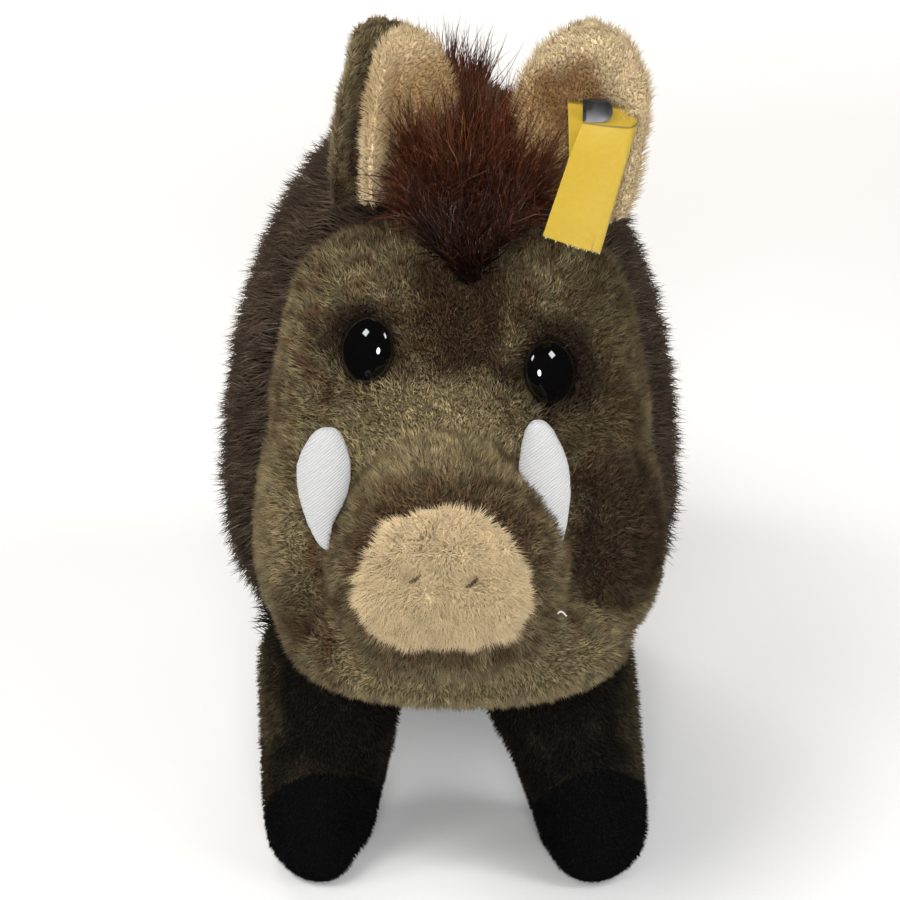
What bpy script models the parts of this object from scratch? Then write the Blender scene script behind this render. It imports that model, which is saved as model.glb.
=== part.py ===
"""A stuffed plush toy wild boar that stands on four stubby legs, with a ribbon tag in one ear.

Metres, +Z up, the snout towards -Y and the tail towards +Y.  Every soft piece has the outline
of the tips of its pile.  The origin is on the floor, under the middle of the whole toy.
Left and right are the boar's own, so its left side is at +X.
"""
import math

import bmesh
import bpy
from mathutils import Euler, Matrix, Vector

COLLECTION = "plush_wild_boar"
GAP = 0.0003                # clearance between pieces that touch
SWELL = 1.022               # cages are drawn this much larger, because subdividing shrinks them
REACH = 0.5                 # how far the flat cutters reach

# Body: (place along Y, half width, height of the back, height of the belly) from chest to rump.
BODY_STATIONS = (
    (-0.066, 0.024, 0.148, 0.098),
    (-0.060, 0.039, 0.169, 0.078),
    (-0.044, 0.051, 0.181, 0.060),
    (-0.018, 0.058, 0.1865, 0.048),
    (0.015, 0.0605, 0.1855, 0.043),
    (0.050, 0.060, 0.180, 0.042),
    (0.088, 0.0565, 0.169, 0.044),
    (0.118, 0.045, 0.153, 0.057),
    (0.133, 0.022, 0.129, 0.084),
)
BODY_WIDEST_SHARE = 0.29    # how far up from belly to back the body is widest
BELLY_SQUARENESS = 3.8      # 2 is round, and more is squarer
BODY_SIDES = 16
NECK_END = -0.012           # place along Y where the neck meets the trunk

# Head: a squarish cushion, wider at the cheeks than at the brow, whose face slopes back.
HEAD_MIDDLE = Vector((0.0022, 0.0, 0.1240))
HEAD_REACH = (0.0545, 0.0560)       # above and below the middle
HEAD_HALF_WIDTH = (0.0428, 0.0515)  # at the brow and at the cheeks
HEAD_STATIONS = (                   # (place along Y, share of the full outline)
    (-0.046, 0.86),
    (-0.064, 1.00),
    (-0.090, 1.00),
    (-0.106, 0.86),
    (-0.1115, 0.62),
    (-0.1125, 0.30),
)
HEAD_SIDES = 16
HEAD_SQUARENESS = (3.1, 3.9)        # of the upper and the lower half
CHEEK_RISE = (0.138, 0.098)         # heights between which the head widens downwards
FACE_LEAN = 0.34                    # how fast the face slopes back above the cheeks
CHEEK_PLACE = (0.034, 0.092)        # out from the middle, and height
CHEEK_BULGE = 0.004                 # how far the cheeks stand out, and how widely
CHEEK_SPREAD = 0.014

MUZZLE_MIDDLE = Vector((-0.0005, 0.0, 0.1045))
MUZZLE_HALF = (0.0300, 0.0305)
MUZZLE_SIDES = 10
MUZZLE_STATIONS = (                 # (place along Y, share of the half sizes, lift)
    (-0.098, 0.92, -0.001),
    (-0.115, 1.01, 0.000),
    (-0.131, 0.94, 0.002),
    (-0.139, 0.70, 0.005),
    (-0.1405, 0.34, 0.006),
)

DISC_CENTRE = Vector((-0.0015, -0.1420, 0.1110))
DISC_HALF = Vector((0.0226, 0.0065, 0.0200))

STITCHES = {"left": Vector((0.0047, -0.1490, 0.1118)), "right": Vector((-0.0075, -0.1490, 0.1127))}
STITCH_HALF_LENGTH = 0.0020
STITCH_RADIUS = 0.0006
STITCH_TILT = math.radians(-40)
STITCH_SEGMENTS = (6, 4)

JAW_CENTRE = Vector((0.0018, -0.0975, 0.0835))
JAW_HALF = Vector((0.0462, 0.0340, 0.0180))

EYE_HALF = Vector((0.0065, 0.0048, 0.0065))
EYE_SEGMENTS = (12, 8)
EYES = {                            # centres on the face
    "left": Vector((0.0227, -0.1000, 0.1436)),
    "right": Vector((-0.0187, -0.0990, 0.1485)),
}

# Ears: leaves rolled about their length.  The right ear turns its hollow outwards.
EAR_HEIGHT = 0.0495
EAR_BACK = 0.0038                   # thickness of the back and of the lining, with their pile
EAR_LINING = 0.0052
EAR_ROLL = math.radians(72)         # half of the angle that the leaf is rolled through
EAR_FULLEST = 0.45                  # share of its height at which an ear is widest
EAR_TAPER = 0.66                    # share of its height in which it narrows to nothing
EAR_TAPER_POWER = 2.6
EAR_TIP_SHARE = 0.36                # least width, against the widest
EAR_TIP_ROUND = 0.16                # how far the corners of the tip drop
EAR_NOD = 0.004                     # how far the tip comes forward
LAYER_GAP = 0.0008                  # between the back and the lining, before they are rounded
LINING_SHARE = 1.05                 # how much further round the lining goes
LINING_RISE = 1.02                  # height of the lining against the back
EARS = {                            # foot of the ear, radius of the roll, turn, sideways lean
    "left": (Vector((0.0310, -0.0550, 0.1680)), 0.0143, math.radians(-6), math.radians(1)),
    "right": (Vector((-0.0185, -0.0530, 0.1668)), 0.0162, math.radians(30), math.radians(3)),
}

# Tusks: (foot, tip, sideways bow)
TUSKS = {
    "left": (Vector((0.0232, -0.1190, 0.1095)), Vector((0.0170, -0.1130, 0.1375)), 0.0022),
    "right": (Vector((-0.0286, -0.1190, 0.1075)), Vector((-0.0268, -0.1130, 0.1355)), -0.0012),
}
TUSK_RINGS = ((0.0, 0.16), (0.25, 0.64), (0.6, 1.0), (0.88, 0.86), (1.0, 0.42))  # (share, width)
TUSK_FLATNESS = 0.6                 # below 1, the ends stay thicker than they are wide
TUSK_SIDES = 6
TUSK_HALF_WIDTH = 0.0067
TUSK_HALF_THICKNESS = 0.0036

# Limbs: middle of the foot and of the hip.
LIMBS = {
    "front_left": (Vector((0.0362, -0.0475, 0.0)), Vector((0.0250, -0.0420, 0.0700))),
    "front_right": (Vector((-0.0322, -0.0475, 0.0)), Vector((-0.0290, -0.0420, 0.0700))),
    "hind_left": (Vector((0.0345, 0.0960, 0.0)), Vector((0.0300, 0.0900, 0.0700))),
    "hind_right": (Vector((-0.0340, 0.0960, 0.0)), Vector((-0.0300, 0.0900, 0.0700))),
}
LIMB_RINGS = (                      # (height, half width, half depth)
    (0.000, 0.0095, 0.0130),
    (0.000, 0.0150, 0.0215),
    (0.008, 0.0174, 0.0243),
    (0.026, 0.0184, 0.0226),
    (0.046, 0.0204, 0.0214),
    (0.076, 0.0220, 0.0225),
)
LIMB_SIDES = 8
STOUTNESS = {"front": 1.00, "hind": 1.20}  # the hind legs are stouter
FOOT_HEIGHT = 0.0285

# Mane: a forelock between the ears, and a crest that runs on down the back.
FORELOCK_CENTRE = Vector((0.0040, -0.0640, 0.1850))
FORELOCK_HALF = Vector((0.0235, 0.0145, 0.0265))
FORELOCK_FALL = 0.0310              # how far its point comes forward over the brow
FORELOCK_TAPER = 0.72               # how much narrower its point is
FORELOCK_TAPER_POWER = 1.5
FORELOCK_FALL_POWER = 1.3
CREST_START = -0.052
CREST_END = 0.088
CREST_HALF_WIDTH = 0.0120
CREST_HEIGHT = (0.0175, 0.0080)     # above the back, at the front and at the rear

TAIL_PATH = (                       # centre line, from the rump down
    Vector((0.0000, 0.1250, 0.1300)),
    Vector((0.0005, 0.1370, 0.1250)),
    Vector((0.0020, 0.1440, 0.1080)),
    Vector((0.0045, 0.1435, 0.0860)),
)
TAIL_RADIUS = 0.0038
TAIL_SIDES = 6
TUFT_HALF = Vector((0.0080, 0.0070, 0.0180))

# Tag: a ribbon folded round an upright line, and the metal clip that holds it in the ear.
TAG_TOP = Vector((0.0350, -0.0710, 0.1950))
TAG_FOOT = Vector((0.0265, -0.0945, 0.1712))
TAG_WIDTH = 0.0160
TAG_BEND = 0.0022                   # radius of the fold
TAG_THICKNESS = 0.0006
TAG_STEPS = 8
TAG_BACK_SHARE = 1.20               # length of the back leaf against the front one
TAG_CLOSED_SHARE = 0.45             # how far the leaves have come together at the foot
TAG_TILT = -0.04                    # rise of the ribbon for each metre across it
CLIP_CENTRE = Vector((0.0335, -0.0710, 0.1971))
CLIP_SIZE = Vector((0.0068, 0.0018, 0.0052))
CLIP_PRONG = 0.0095                 # length of the prong that goes back into the ear
CLIP_PRONG_INSET = 0.0014           # how much slimmer the prong is all round
CLIP_RIM = 0.0006

# Which pieces give way where two of them would meet: piece, then what it is cut by.
CUTS = {
    "head": ("trunk", "eye_left", "eye_right"),
    "muzzle": ("head",),
    "lower_jaw": ("head", "muzzle", "trunk"),
    "snout_disc": ("muzzle",),
    "forelock": (
        "head", "trunk", "ear_back_left", "ear_back_right", "ear_lining_left", "ear_lining_right",
    ),
    "mane_crest": ("trunk", "forelock"),
    "tail": ("trunk",),
    "tail_tuft": ("tail",),
    "ear_back_left": ("head", "trunk"),
    "ear_back_right": ("head", "trunk"),
    "ear_lining_left": ("ear_back_left", "head", "trunk", "tag_clip"),
    "ear_lining_right": ("ear_back_right", "head", "trunk"),
    "tusk_left": ("head", "muzzle"),
    "tusk_right": ("head", "muzzle"),
    "leg_front_left": ("trunk", "head"),
    "leg_front_right": ("trunk", "head"),
    "leg_hind_left": ("trunk",),
    "leg_hind_right": ("trunk",),
}
CUTTING_PIECES = sorted({name for names in CUTS.values() for name in names})

FINISHES = {                        # colour, roughness, metallic
    "body_plush": ((0.060, 0.042, 0.030), 0.95, 0.0),
    "head_plush": ((0.150, 0.115, 0.065), 0.95, 0.0),
    "pale_plush": ((0.660, 0.450, 0.240), 0.95, 0.0),
    "foot_plush": ((0.010, 0.010, 0.011), 0.95, 0.0),
    "mane_hair": ((0.085, 0.026, 0.012), 0.55, 0.0),
    "tusk_cloth": ((0.820, 0.830, 0.840), 0.80, 0.0),
    "eye_plastic": ((0.006, 0.006, 0.007), 0.06, 0.0),
    "thread": ((0.035, 0.028, 0.024), 0.70, 0.0),
    "ribbon": ((0.900, 0.690, 0.060), 0.50, 0.0),
    "clip_metal": ((0.120, 0.120, 0.125), 0.38, 1.0),
}


def finish(thing, kind):
    """Give a piece a material of its own."""
    colour, roughness, metallic = FINISHES[kind]
    made = bpy.data.materials.new(thing.name + "_" + kind)
    made.use_nodes = True
    shader = made.node_tree.nodes["Principled BSDF"]
    shader.inputs["Base Color"].default_value = (*colour, 1.0)
    shader.inputs["Roughness"].default_value = roughness
    shader.inputs["Metallic"].default_value = metallic
    thing.material_slots[0].link = "OBJECT"
    thing.material_slots[0].material = made


def add_piece(name, mesh, kind, home):
    """Put a mesh in the toy's collection as one named piece."""
    if not mesh.materials:
        mesh.materials.append(None)
    thing = bpy.data.objects.new(name, mesh)
    home.objects.link(thing)
    finish(thing, kind)
    return thing


def soften(thing):
    """Round a coarse cage into a soft form."""
    rounding = thing.modifiers.new("Soften", "SUBSURF")
    rounding.levels = 1
    rounding.render_levels = 1
    return thing


def between(low, high, share):
    """The value a share of the way from one number to another."""
    return low + (high - low) * share


def smooth_step(low, high, value):
    """Rises from 0 to 1 while the value goes from one limit to the other."""
    share = min(max((value - low) / (high - low), 0.0), 1.0)
    return share * share * (3.0 - 2.0 * share)


def rounded(value, squareness):
    """Bend a sine or cosine, so that a circle of them turns squarer as squareness passes 2."""
    return math.copysign(abs(value) ** (2.0 / squareness), value)


def turns(count):
    """Evenly spaced angles round a ring."""
    return [2.0 * math.pi * step / count for step in range(count)]


def mesh_from(form, name):
    """Close a bmesh into a smooth mesh whose faces point out."""
    bmesh.ops.recalc_face_normals(form, faces=form.faces)
    mesh = bpy.data.meshes.new(name)
    form.to_mesh(mesh)
    form.free()
    mesh.shade_smooth()
    return mesh


def loft(name, rings):
    """A closed cage of quads between rings of points, with one face over each end."""
    form = bmesh.new()
    loops = [[form.verts.new(point) for point in ring] for ring in rings]
    for near, far in zip(loops, loops[1:]):
        for index, corner in enumerate(near):
            after = (index + 1) % len(near)
            form.faces.new((corner, near[after], far[after], far[index]))
    form.faces.new(loops[0])
    form.faces.new(loops[-1])
    return mesh_from(form, name)


def cushion(name, shape, segments):
    """A closed cage from a unit sphere, each point of which is moved by a function."""
    form = bmesh.new()
    bmesh.ops.create_uvsphere(form, u_segments=segments[0], v_segments=segments[1], radius=1.0)
    bmesh.ops.rotate(form, verts=form.verts, matrix=Matrix.Rotation(math.radians(90), 3, "X"))
    for corner in form.verts:
        corner.co = shape(corner.co.copy())
    return mesh_from(form, name)


def ellipsoid(centre, half, squareness=2.0):
    """A shape function for cushion: an ellipsoid, or a squarer cushion."""
    def shape(unit):
        return centre + SWELL * Vector([
            half[axis] * rounded(unit[axis], squareness) for axis in range(3)
        ])
    return shape


def body_mesh():
    """Trunk and neck in one: round above, and squarer below."""
    rings = []
    for along, half_width, back, belly in BODY_STATIONS:
        middle = between(belly, back, BODY_WIDEST_SHARE)
        ring = []
        for angle in turns(BODY_SIDES):
            above = math.sin(angle) > 0
            squareness = 2.0 if above else BELLY_SQUARENESS
            reach = back - middle if above else middle - belly
            ring.append((
                SWELL * half_width * rounded(math.cos(angle), squareness),
                along,
                middle + SWELL * reach * rounded(math.sin(angle), squareness),
            ))
        rings.append(ring)
    return loft("body", rings)


def back_height(along):
    """Height of the body's back at a place along Y."""
    for near, far in zip(BODY_STATIONS, BODY_STATIONS[1:]):
        if along <= far[0]:
            return between(near[2], far[2], (along - near[0]) / (far[0] - near[0]))
    return BODY_STATIONS[-1][2]


def head_mesh():
    """The squarish head, with a sloping face and full cheeks."""
    first, last = HEAD_STATIONS[0][0], HEAD_STATIONS[-1][0]
    rings = []
    for along, share in HEAD_STATIONS:
        frontness = (along - first) / (last - first)
        ring = []
        for angle in turns(HEAD_SIDES):
            half = 0 if math.sin(angle) > 0 else 1
            squareness = HEAD_SQUARENESS[half]
            rise = rounded(math.sin(angle), squareness)
            height = HEAD_MIDDLE.z + SWELL * share * rise * HEAD_REACH[half]
            full = between(*HEAD_HALF_WIDTH, smooth_step(*CHEEK_RISE, height))
            out = SWELL * share * full * rounded(math.cos(angle), squareness)
            lean = FACE_LEAN * frontness * max(0.0, height - CHEEK_PLACE[1] - CHEEK_SPREAD)
            off = math.hypot(abs(out) - CHEEK_PLACE[0], height - CHEEK_PLACE[1]) / CHEEK_SPREAD
            bulge = CHEEK_BULGE * frontness * math.exp(-off * off)
            ring.append((HEAD_MIDDLE.x + out, along + lean - bulge, height))
        rings.append(ring)
    return loft("head", rings)


def muzzle_mesh():
    """A short round barrel."""
    rings = []
    for along, share, lift in MUZZLE_STATIONS:
        rings.append([(
            MUZZLE_MIDDLE.x + SWELL * share * MUZZLE_HALF[0] * math.cos(angle),
            along,
            MUZZLE_MIDDLE.z + lift + SWELL * share * MUZZLE_HALF[1] * math.sin(angle),
        ) for angle in turns(MUZZLE_SIDES)])
    return loft("muzzle", rings)


def leaf_mesh(name, radius, roll, height):
    """An open leaf, rolled about its length, with a round tip.  It opens towards -Y."""
    form = bmesh.new()
    bmesh.ops.create_grid(form, x_segments=4, y_segments=3, size=1.0)
    for corner in form.verts:
        rise = (corner.co.y + 1.0) / 2.0
        fullness = math.sqrt(1.0 - (abs(rise - EAR_FULLEST) / EAR_TAPER) ** EAR_TAPER_POWER)
        angle = corner.co.x * roll
        turn = radius * max(fullness, EAR_TIP_SHARE)
        drop = EAR_TIP_ROUND * rise * rise * corner.co.x ** 2
        corner.co = Vector((
            turn * math.sin(angle),
            turn * (math.cos(angle) - 1.0) - EAR_NOD * rise * rise,
            height * (rise - drop),
        ))
    mesh = bpy.data.meshes.new(name)
    form.to_mesh(mesh)
    form.free()
    mesh.shade_smooth()
    return mesh


def thicken(thing, thickness, offset):
    """Give an open leaf its thickness."""
    wall = thing.modifiers.new("Wall", "SOLIDIFY")
    wall.thickness = thickness
    wall.offset = offset


def tusk_mesh(name, foot, tip, bow):
    """A flat crescent, pointed at its foot and blunt at its tip."""
    along = tip - foot
    across = Vector((1.0, 0.0, 0.0))
    through = along.normalized().cross(across)
    rings = []
    for share, width in TUSK_RINGS:
        middle = foot + along * share + across * bow * math.sin(math.pi * share)
        rings.append([
            middle
            + across * SWELL * TUSK_HALF_WIDTH * width * math.cos(angle)
            + through * SWELL * TUSK_HALF_THICKNESS * width ** TUSK_FLATNESS * math.sin(angle)
            for angle in turns(TUSK_SIDES)
        ])
    return loft(name, rings)


def limb_mesh(name, foot, hip, stoutness):
    """A whole leg with its foot, flat underneath."""
    rings = []
    for height, half_width, half_depth in LIMB_RINGS:
        middle = foot.lerp(hip, height / hip.z)
        upper = between(1.0, stoutness, smooth_step(FOOT_HEIGHT, hip.z, height))
        rings.append([(
            middle.x + SWELL * upper * half_width * math.cos(angle),
            middle.y + SWELL * upper * half_depth * math.sin(angle),
            height,
        ) for angle in turns(LIMB_SIDES)])
    return loft(name, rings)


def forelock_shape(unit):
    """A tuft that stands up between the ears and falls to a point over the brow."""
    below = max(0.0, -unit.z)
    narrow = 1.0 - FORELOCK_TAPER * below ** FORELOCK_TAPER_POWER
    return Vector((
        FORELOCK_CENTRE.x + FORELOCK_HALF.x * unit.x * narrow,
        FORELOCK_CENTRE.y + FORELOCK_HALF.y * unit.y - FORELOCK_FALL * below ** FORELOCK_FALL_POWER,
        FORELOCK_CENTRE.z + FORELOCK_HALF.z * unit.z,
    ))


def crest_shape(unit):
    """A low ridge of hair along the back, highest behind the ears."""
    middle = (CREST_START + CREST_END) / 2
    along = middle + unit.y * (CREST_END - CREST_START) / 2
    share = (along - CREST_START) / (CREST_END - CREST_START)
    height = between(*CREST_HEIGHT, share)
    return Vector((
        CREST_HALF_WIDTH * unit.x,
        along,
        back_height(along) + height * unit.z,
    ))


def tail_mesh():
    """A cord that hangs from the rump."""
    rings = []
    for index, middle in enumerate(TAIL_PATH):
        before = TAIL_PATH[max(index - 1, 0)]
        after = TAIL_PATH[min(index + 1, len(TAIL_PATH) - 1)]
        across = Vector((1.0, 0.0, 0.0))
        through = (after - before).normalized().cross(across)
        rings.append([
            middle + SWELL * TAIL_RADIUS * (across * math.cos(angle) + through * math.sin(angle))
            for angle in turns(TAIL_SIDES)
        ])
    return loft("tail", rings)


def ribbon_mesh():
    """The middle surface of the tag: a band folded round its upright right-hand edge."""
    half = TAG_WIDTH / 2 - TAG_BEND
    bend = math.pi * TAG_BEND
    front, back = 2 * half, 2 * half * TAG_BACK_SHARE
    length = front + bend + back
    down = TAG_FOOT - TAG_TOP
    form = bmesh.new()
    bmesh.ops.create_grid(form, x_segments=TAG_STEPS, y_segments=1, size=0.5)
    for corner in form.verts:
        way = (corner.co.x + 0.5) * length
        drop = 0.5 - corner.co.y
        open_share = between(1.0, TAG_CLOSED_SHARE, drop)
        if way < front:
            across, depth = way - half, -TAG_BEND
        elif way < front + bend:
            angle = (way - front) / TAG_BEND
            across, depth = half + TAG_BEND * math.sin(angle), -TAG_BEND * math.cos(angle)
        else:
            across, depth = half - (way - front - bend), TAG_BEND
        corner.co = TAG_TOP + down * drop + Vector((across, depth * open_share, across * TAG_TILT))
    mesh = bpy.data.meshes.new("tag_ribbon")
    form.to_mesh(mesh)
    form.free()
    return mesh


def stitch_mesh(name, middle, tilt):
    """One short bar of thread, lying on the snout."""
    half = STITCH_HALF_LENGTH
    turn = Matrix.Rotation(tilt, 3, "Y")

    def shape(unit):
        return middle + turn @ Vector((unit.x * half, unit.y * STITCH_RADIUS, unit.z * STITCH_RADIUS))
    return cushion(name, shape, STITCH_SEGMENTS)


def clearance(piece, cutters):
    """A cutter the shape of a piece before it is cut, larger by the gap."""
    cutter = piece.copy()
    cutter.name = "clear_" + piece.name
    cutters.objects.link(cutter)
    grow = cutter.modifiers.new("Grow", "DISPLACE")
    grow.strength = GAP
    grow.mid_level = 0.0
    cutter.hide_render = True
    cutter.display_type = "WIRE"
    return cutter


def half_space(name, low, high, cutters):
    """A box cutter between two corners."""
    form = bmesh.new()
    bmesh.ops.create_cube(form, size=1.0)
    for corner in form.verts:
        corner.co = Vector([between(low[axis], high[axis], corner.co[axis] + 0.5) for axis in range(3)])
    mesh = bpy.data.meshes.new(name)
    form.to_mesh(mesh)
    form.free()
    cutter = bpy.data.objects.new(name, mesh)
    cutters.objects.link(cutter)
    cutter.hide_render = True
    cutter.display_type = "WIRE"
    return cutter


def cut(piece, cutter):
    """Take a cutter's shape out of a piece."""
    hollow = piece.modifiers.new("Cut " + cutter.name, "BOOLEAN")
    hollow.operation = "DIFFERENCE"
    hollow.object = cutter
    hollow.solver = "EXACT"


def add_soft_forms(home):
    """The stuffed pieces before they are cut to meet each other, by name."""
    forms = {
        "trunk": soften(add_piece("trunk", body_mesh(), "body_plush", home)),
        "head": soften(add_piece("head", head_mesh(), "head_plush", home)),
        "muzzle": soften(add_piece("muzzle", muzzle_mesh(), "head_plush", home)),
    }
    forms["neck"] = soften(add_piece("neck", forms["trunk"].data, "body_plush", home))
    cushions = {
        "lower_jaw": (ellipsoid(JAW_CENTRE, JAW_HALF, 2.5), "head_plush", (10, 5)),
        "snout_disc": (ellipsoid(DISC_CENTRE, DISC_HALF, 2.4), "pale_plush", (8, 4)),
        "forelock": (forelock_shape, "mane_hair", (8, 5)),
        "mane_crest": (crest_shape, "mane_hair", (6, 7)),
        "tail_tuft": (ellipsoid(TAIL_PATH[-1], TUFT_HALF), "mane_hair", (6, 4)),
    }
    for name, (shape, kind, segments) in cushions.items():
        forms[name] = soften(add_piece(name, cushion(name, shape, segments), kind, home))
    forms["tail"] = soften(add_piece("tail", tail_mesh(), "body_plush", home))
    return forms


def add_ears(home):
    """Two leaves to each ear: a back, and a lining that fills its hollow."""
    forms = {}
    for side, (foot, radius, turn, lean) in EARS.items():
        layers = (
            ("ear_back_" + side, "head_plush", radius, EAR_ROLL, EAR_HEIGHT, EAR_BACK, -1.0),
            ("ear_lining_" + side, "pale_plush", radius - LAYER_GAP, EAR_ROLL * LINING_SHARE,
             EAR_HEIGHT * LINING_RISE, EAR_LINING, 1.0),
        )
        for name, kind, bend, roll, height, thickness, offset in layers:
            layer = add_piece(name, leaf_mesh(name, bend, roll, height), kind, home)
            thicken(layer, thickness, offset)
            soften(layer)
            layer.location = foot
            layer.rotation_euler = Euler((0.0, lean, turn))
            forms[name] = layer
    return forms


def add_limbs(home):
    """Each leg and its foot start as the same whole limb."""
    forms = {}
    for place, (foot, hip) in LIMBS.items():
        mesh = limb_mesh("limb_" + place, foot, hip, STOUTNESS[place.split("_")[0]])
        forms["leg_" + place] = soften(add_piece("leg_" + place, mesh, "body_plush", home))
        forms["foot_" + place] = soften(add_piece("foot_" + place, mesh, "foot_plush", home))
    return forms


def add_face(home):
    """Eyes, tusks and the two stitches that mark the nostrils."""
    forms = {}
    for side, centre in EYES.items():
        name = "eye_" + side
        mesh = cushion(name, ellipsoid(centre, EYE_HALF), EYE_SEGMENTS)
        forms[name] = add_piece(name, mesh, "eye_plastic", home)
    for side, (foot, tip, bow) in TUSKS.items():
        name = "tusk_" + side
        mesh = tusk_mesh(name, foot, tip, bow)
        forms[name] = soften(add_piece(name, mesh, "tusk_cloth", home))
    for side, middle in STITCHES.items():
        name = "nostril_stitch_" + side
        mesh = stitch_mesh(name, middle, STITCH_TILT)
        forms[name] = add_piece(name, mesh, "thread", home)
    return forms


def add_tag(home):
    """The folded ribbon, and the clip whose prong goes over its edge into the ear."""
    ribbon = add_piece("tag_ribbon", ribbon_mesh(), "ribbon", home)
    thicken(ribbon, TAG_THICKNESS, 0.0)
    form = bmesh.new()
    bmesh.ops.create_cube(form, size=1.0)
    bmesh.ops.scale(form, vec=CLIP_SIZE, verts=form.verts)
    rear = [face for face in form.faces if face.normal.y > 0.9]
    bmesh.ops.inset_region(form, faces=rear, thickness=CLIP_PRONG_INSET)
    prong = bmesh.ops.extrude_discrete_faces(form, faces=rear)["faces"]
    bmesh.ops.translate(form, vec=(0.0, CLIP_PRONG, 0.0), verts=prong[0].verts)
    clip = add_piece("tag_clip", mesh_from(form, "tag_clip"), "clip_metal", home)
    clip.location = CLIP_CENTRE
    rim = clip.modifiers.new("Rim", "BEVEL")
    rim.width = CLIP_RIM
    rim.segments = 1
    return {"tag_ribbon": ribbon, "tag_clip": clip}


def main():
    for thing in list(bpy.data.objects):
        bpy.data.objects.remove(thing, do_unlink=True)
    home = bpy.data.collections.new(COLLECTION)
    cutters = bpy.data.collections.new(COLLECTION + "_cutters")
    bpy.context.scene.collection.children.link(home)
    bpy.context.scene.collection.children.link(cutters)

    forms = add_soft_forms(home)
    forms.update(add_limbs(home))
    forms.update(add_ears(home))
    forms.update(add_face(home))
    forms.update(add_tag(home))

    solid = {name: clearance(forms[name], cutters) for name in CUTTING_PIECES}
    front = half_space("front", (-REACH, -REACH, -REACH), (REACH, NECK_END + GAP / 2, REACH), cutters)
    rear = half_space("rear", (-REACH, NECK_END - GAP / 2, -REACH), (REACH, REACH, REACH), cutters)
    low = half_space("low", (-REACH, -REACH, -REACH), (REACH, REACH, FOOT_HEIGHT + GAP / 2), cutters)
    high = half_space("high", (-REACH, -REACH, FOOT_HEIGHT - GAP / 2), (REACH, REACH, REACH), cutters)

    cut(forms["trunk"], front)
    cut(forms["neck"], rear)
    for name, piece in forms.items():
        if name.startswith("leg_"):
            cut(piece, low)
        if name.startswith("foot_"):
            cut(piece, high)
    for name, cutting_names in CUTS.items():
        for cutting in cutting_names:
            cut(forms[name], solid[cutting])


main()
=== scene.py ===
"""The looks of a plush wild boar toy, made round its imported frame.

Metres, +Z up, the snout towards -Y.  Left and right are the boar's own, so its left is at +X.
Each plush part is a fabric skin that lies inside its solid by the depth of the pile, and the pile
is closed tufts that grow from the skin.  Skin and pile read the same markings.
"""

import math
from contextlib import contextmanager
from types import SimpleNamespace

import bpy
import numpy as np
from bpy.props import FloatProperty, FloatVectorProperty, PointerProperty
from mathutils import Matrix, Vector
from mathutils.kdtree import KDTree


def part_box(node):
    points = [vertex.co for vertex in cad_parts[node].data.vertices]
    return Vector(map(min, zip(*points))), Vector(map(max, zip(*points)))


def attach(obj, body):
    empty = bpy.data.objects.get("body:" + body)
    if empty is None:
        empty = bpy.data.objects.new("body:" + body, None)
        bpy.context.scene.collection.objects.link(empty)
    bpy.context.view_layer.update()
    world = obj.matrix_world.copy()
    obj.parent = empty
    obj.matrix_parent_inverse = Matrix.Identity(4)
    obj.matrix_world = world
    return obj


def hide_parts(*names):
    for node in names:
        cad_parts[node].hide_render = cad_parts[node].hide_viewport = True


bl_info = {
    "name": "Plush wild boar",
    "version": (1, 0, 0),
    "blender": (4, 5, 0),
    "location": "3D View > Sidebar > Boar",
    "description": "Builds the skins, pile, hair, eyes, tusks, tag and stage of a plush wild boar",
    "category": "Object",
}

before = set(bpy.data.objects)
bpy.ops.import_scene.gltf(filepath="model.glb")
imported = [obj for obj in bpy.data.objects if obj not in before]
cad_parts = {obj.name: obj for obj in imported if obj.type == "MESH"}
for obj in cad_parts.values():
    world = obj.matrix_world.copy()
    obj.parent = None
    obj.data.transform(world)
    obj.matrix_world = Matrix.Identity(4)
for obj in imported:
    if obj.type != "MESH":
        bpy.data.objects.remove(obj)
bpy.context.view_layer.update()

MM = 0.001
BAKE_MAP = "OFBake"
PATCH = 0.003               # size of one tuft's patch on the bake map
MOST_TRIANGLES = 190000     # in one piece of the coat
ROOT_DEPTH = 0.4 * MM       # how far a tuft starts below its fabric
OVERLAP = 0.4 * MM          # how far solids swell, so that neighbours join when they are remeshed
PRESSURE = 4.0              # of the stuffing
LAST_MOMENT = 20            # of the stuffing, which starts at 1
# The woven back is painted darker than its pile, as painted shade between the tufts.
CLOTH_DARK = 0.35           # how dark the woven back of the plush is beside its pile
SOFT = 0.55                 # how softly a marking ends, from 0 to 1

SHORT_RINGS = 1             # rings of corners in one tuft of the short pile
LONG_RINGS = 2              # in one of the trunk's pile
HAIR_RINGS = 3              # in one strand of the long hair

SIDES = ("left", "right")
LIMBS = ("front_left", "front_right", "hind_left", "hind_right")
BODY_NODES = ("trunk", "neck") + tuple(part + limb for part in ("leg_", "foot_") for limb in LIMBS)
HEAD_NODES = ("head", "muzzle", "lower_jaw")


def centre_of(node):
    """Middle of a CAD node's box."""
    low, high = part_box(node)
    return (low + high) / 2


def half_of(node):
    """Half the size of a CAD node's box."""
    low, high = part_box(node)
    return (high - low) / 2


SNOUT = centre_of("snout_disc")
SNOUT_HALF = half_of("snout_disc")
EYES = {side: centre_of("eye_" + side) for side in SIDES}
EYE_RADIUS = half_of("eye_left").x
FOOT_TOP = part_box("foot_front_left")[1].z
NECK_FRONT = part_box("neck")[0].y
HEAD_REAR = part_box("head")[1].y
BROW_POINT = Vector((0.004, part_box("forelock")[0].y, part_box("forelock")[0].z))


# Settings: what someone would change.

def size_of(name, default, description):
    return FloatProperty(name=name, default=default, description=description, unit="LENGTH", precision=5)


def share_of(name, default, description):
    return FloatProperty(name=name, default=default, description=description, min=0.0, subtype="FACTOR")


def colour_of(name, default, description):
    return FloatVectorProperty(
        name=name, default=default, description=description, subtype="COLOR", size=3, min=0.0, max=1.0)


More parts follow.
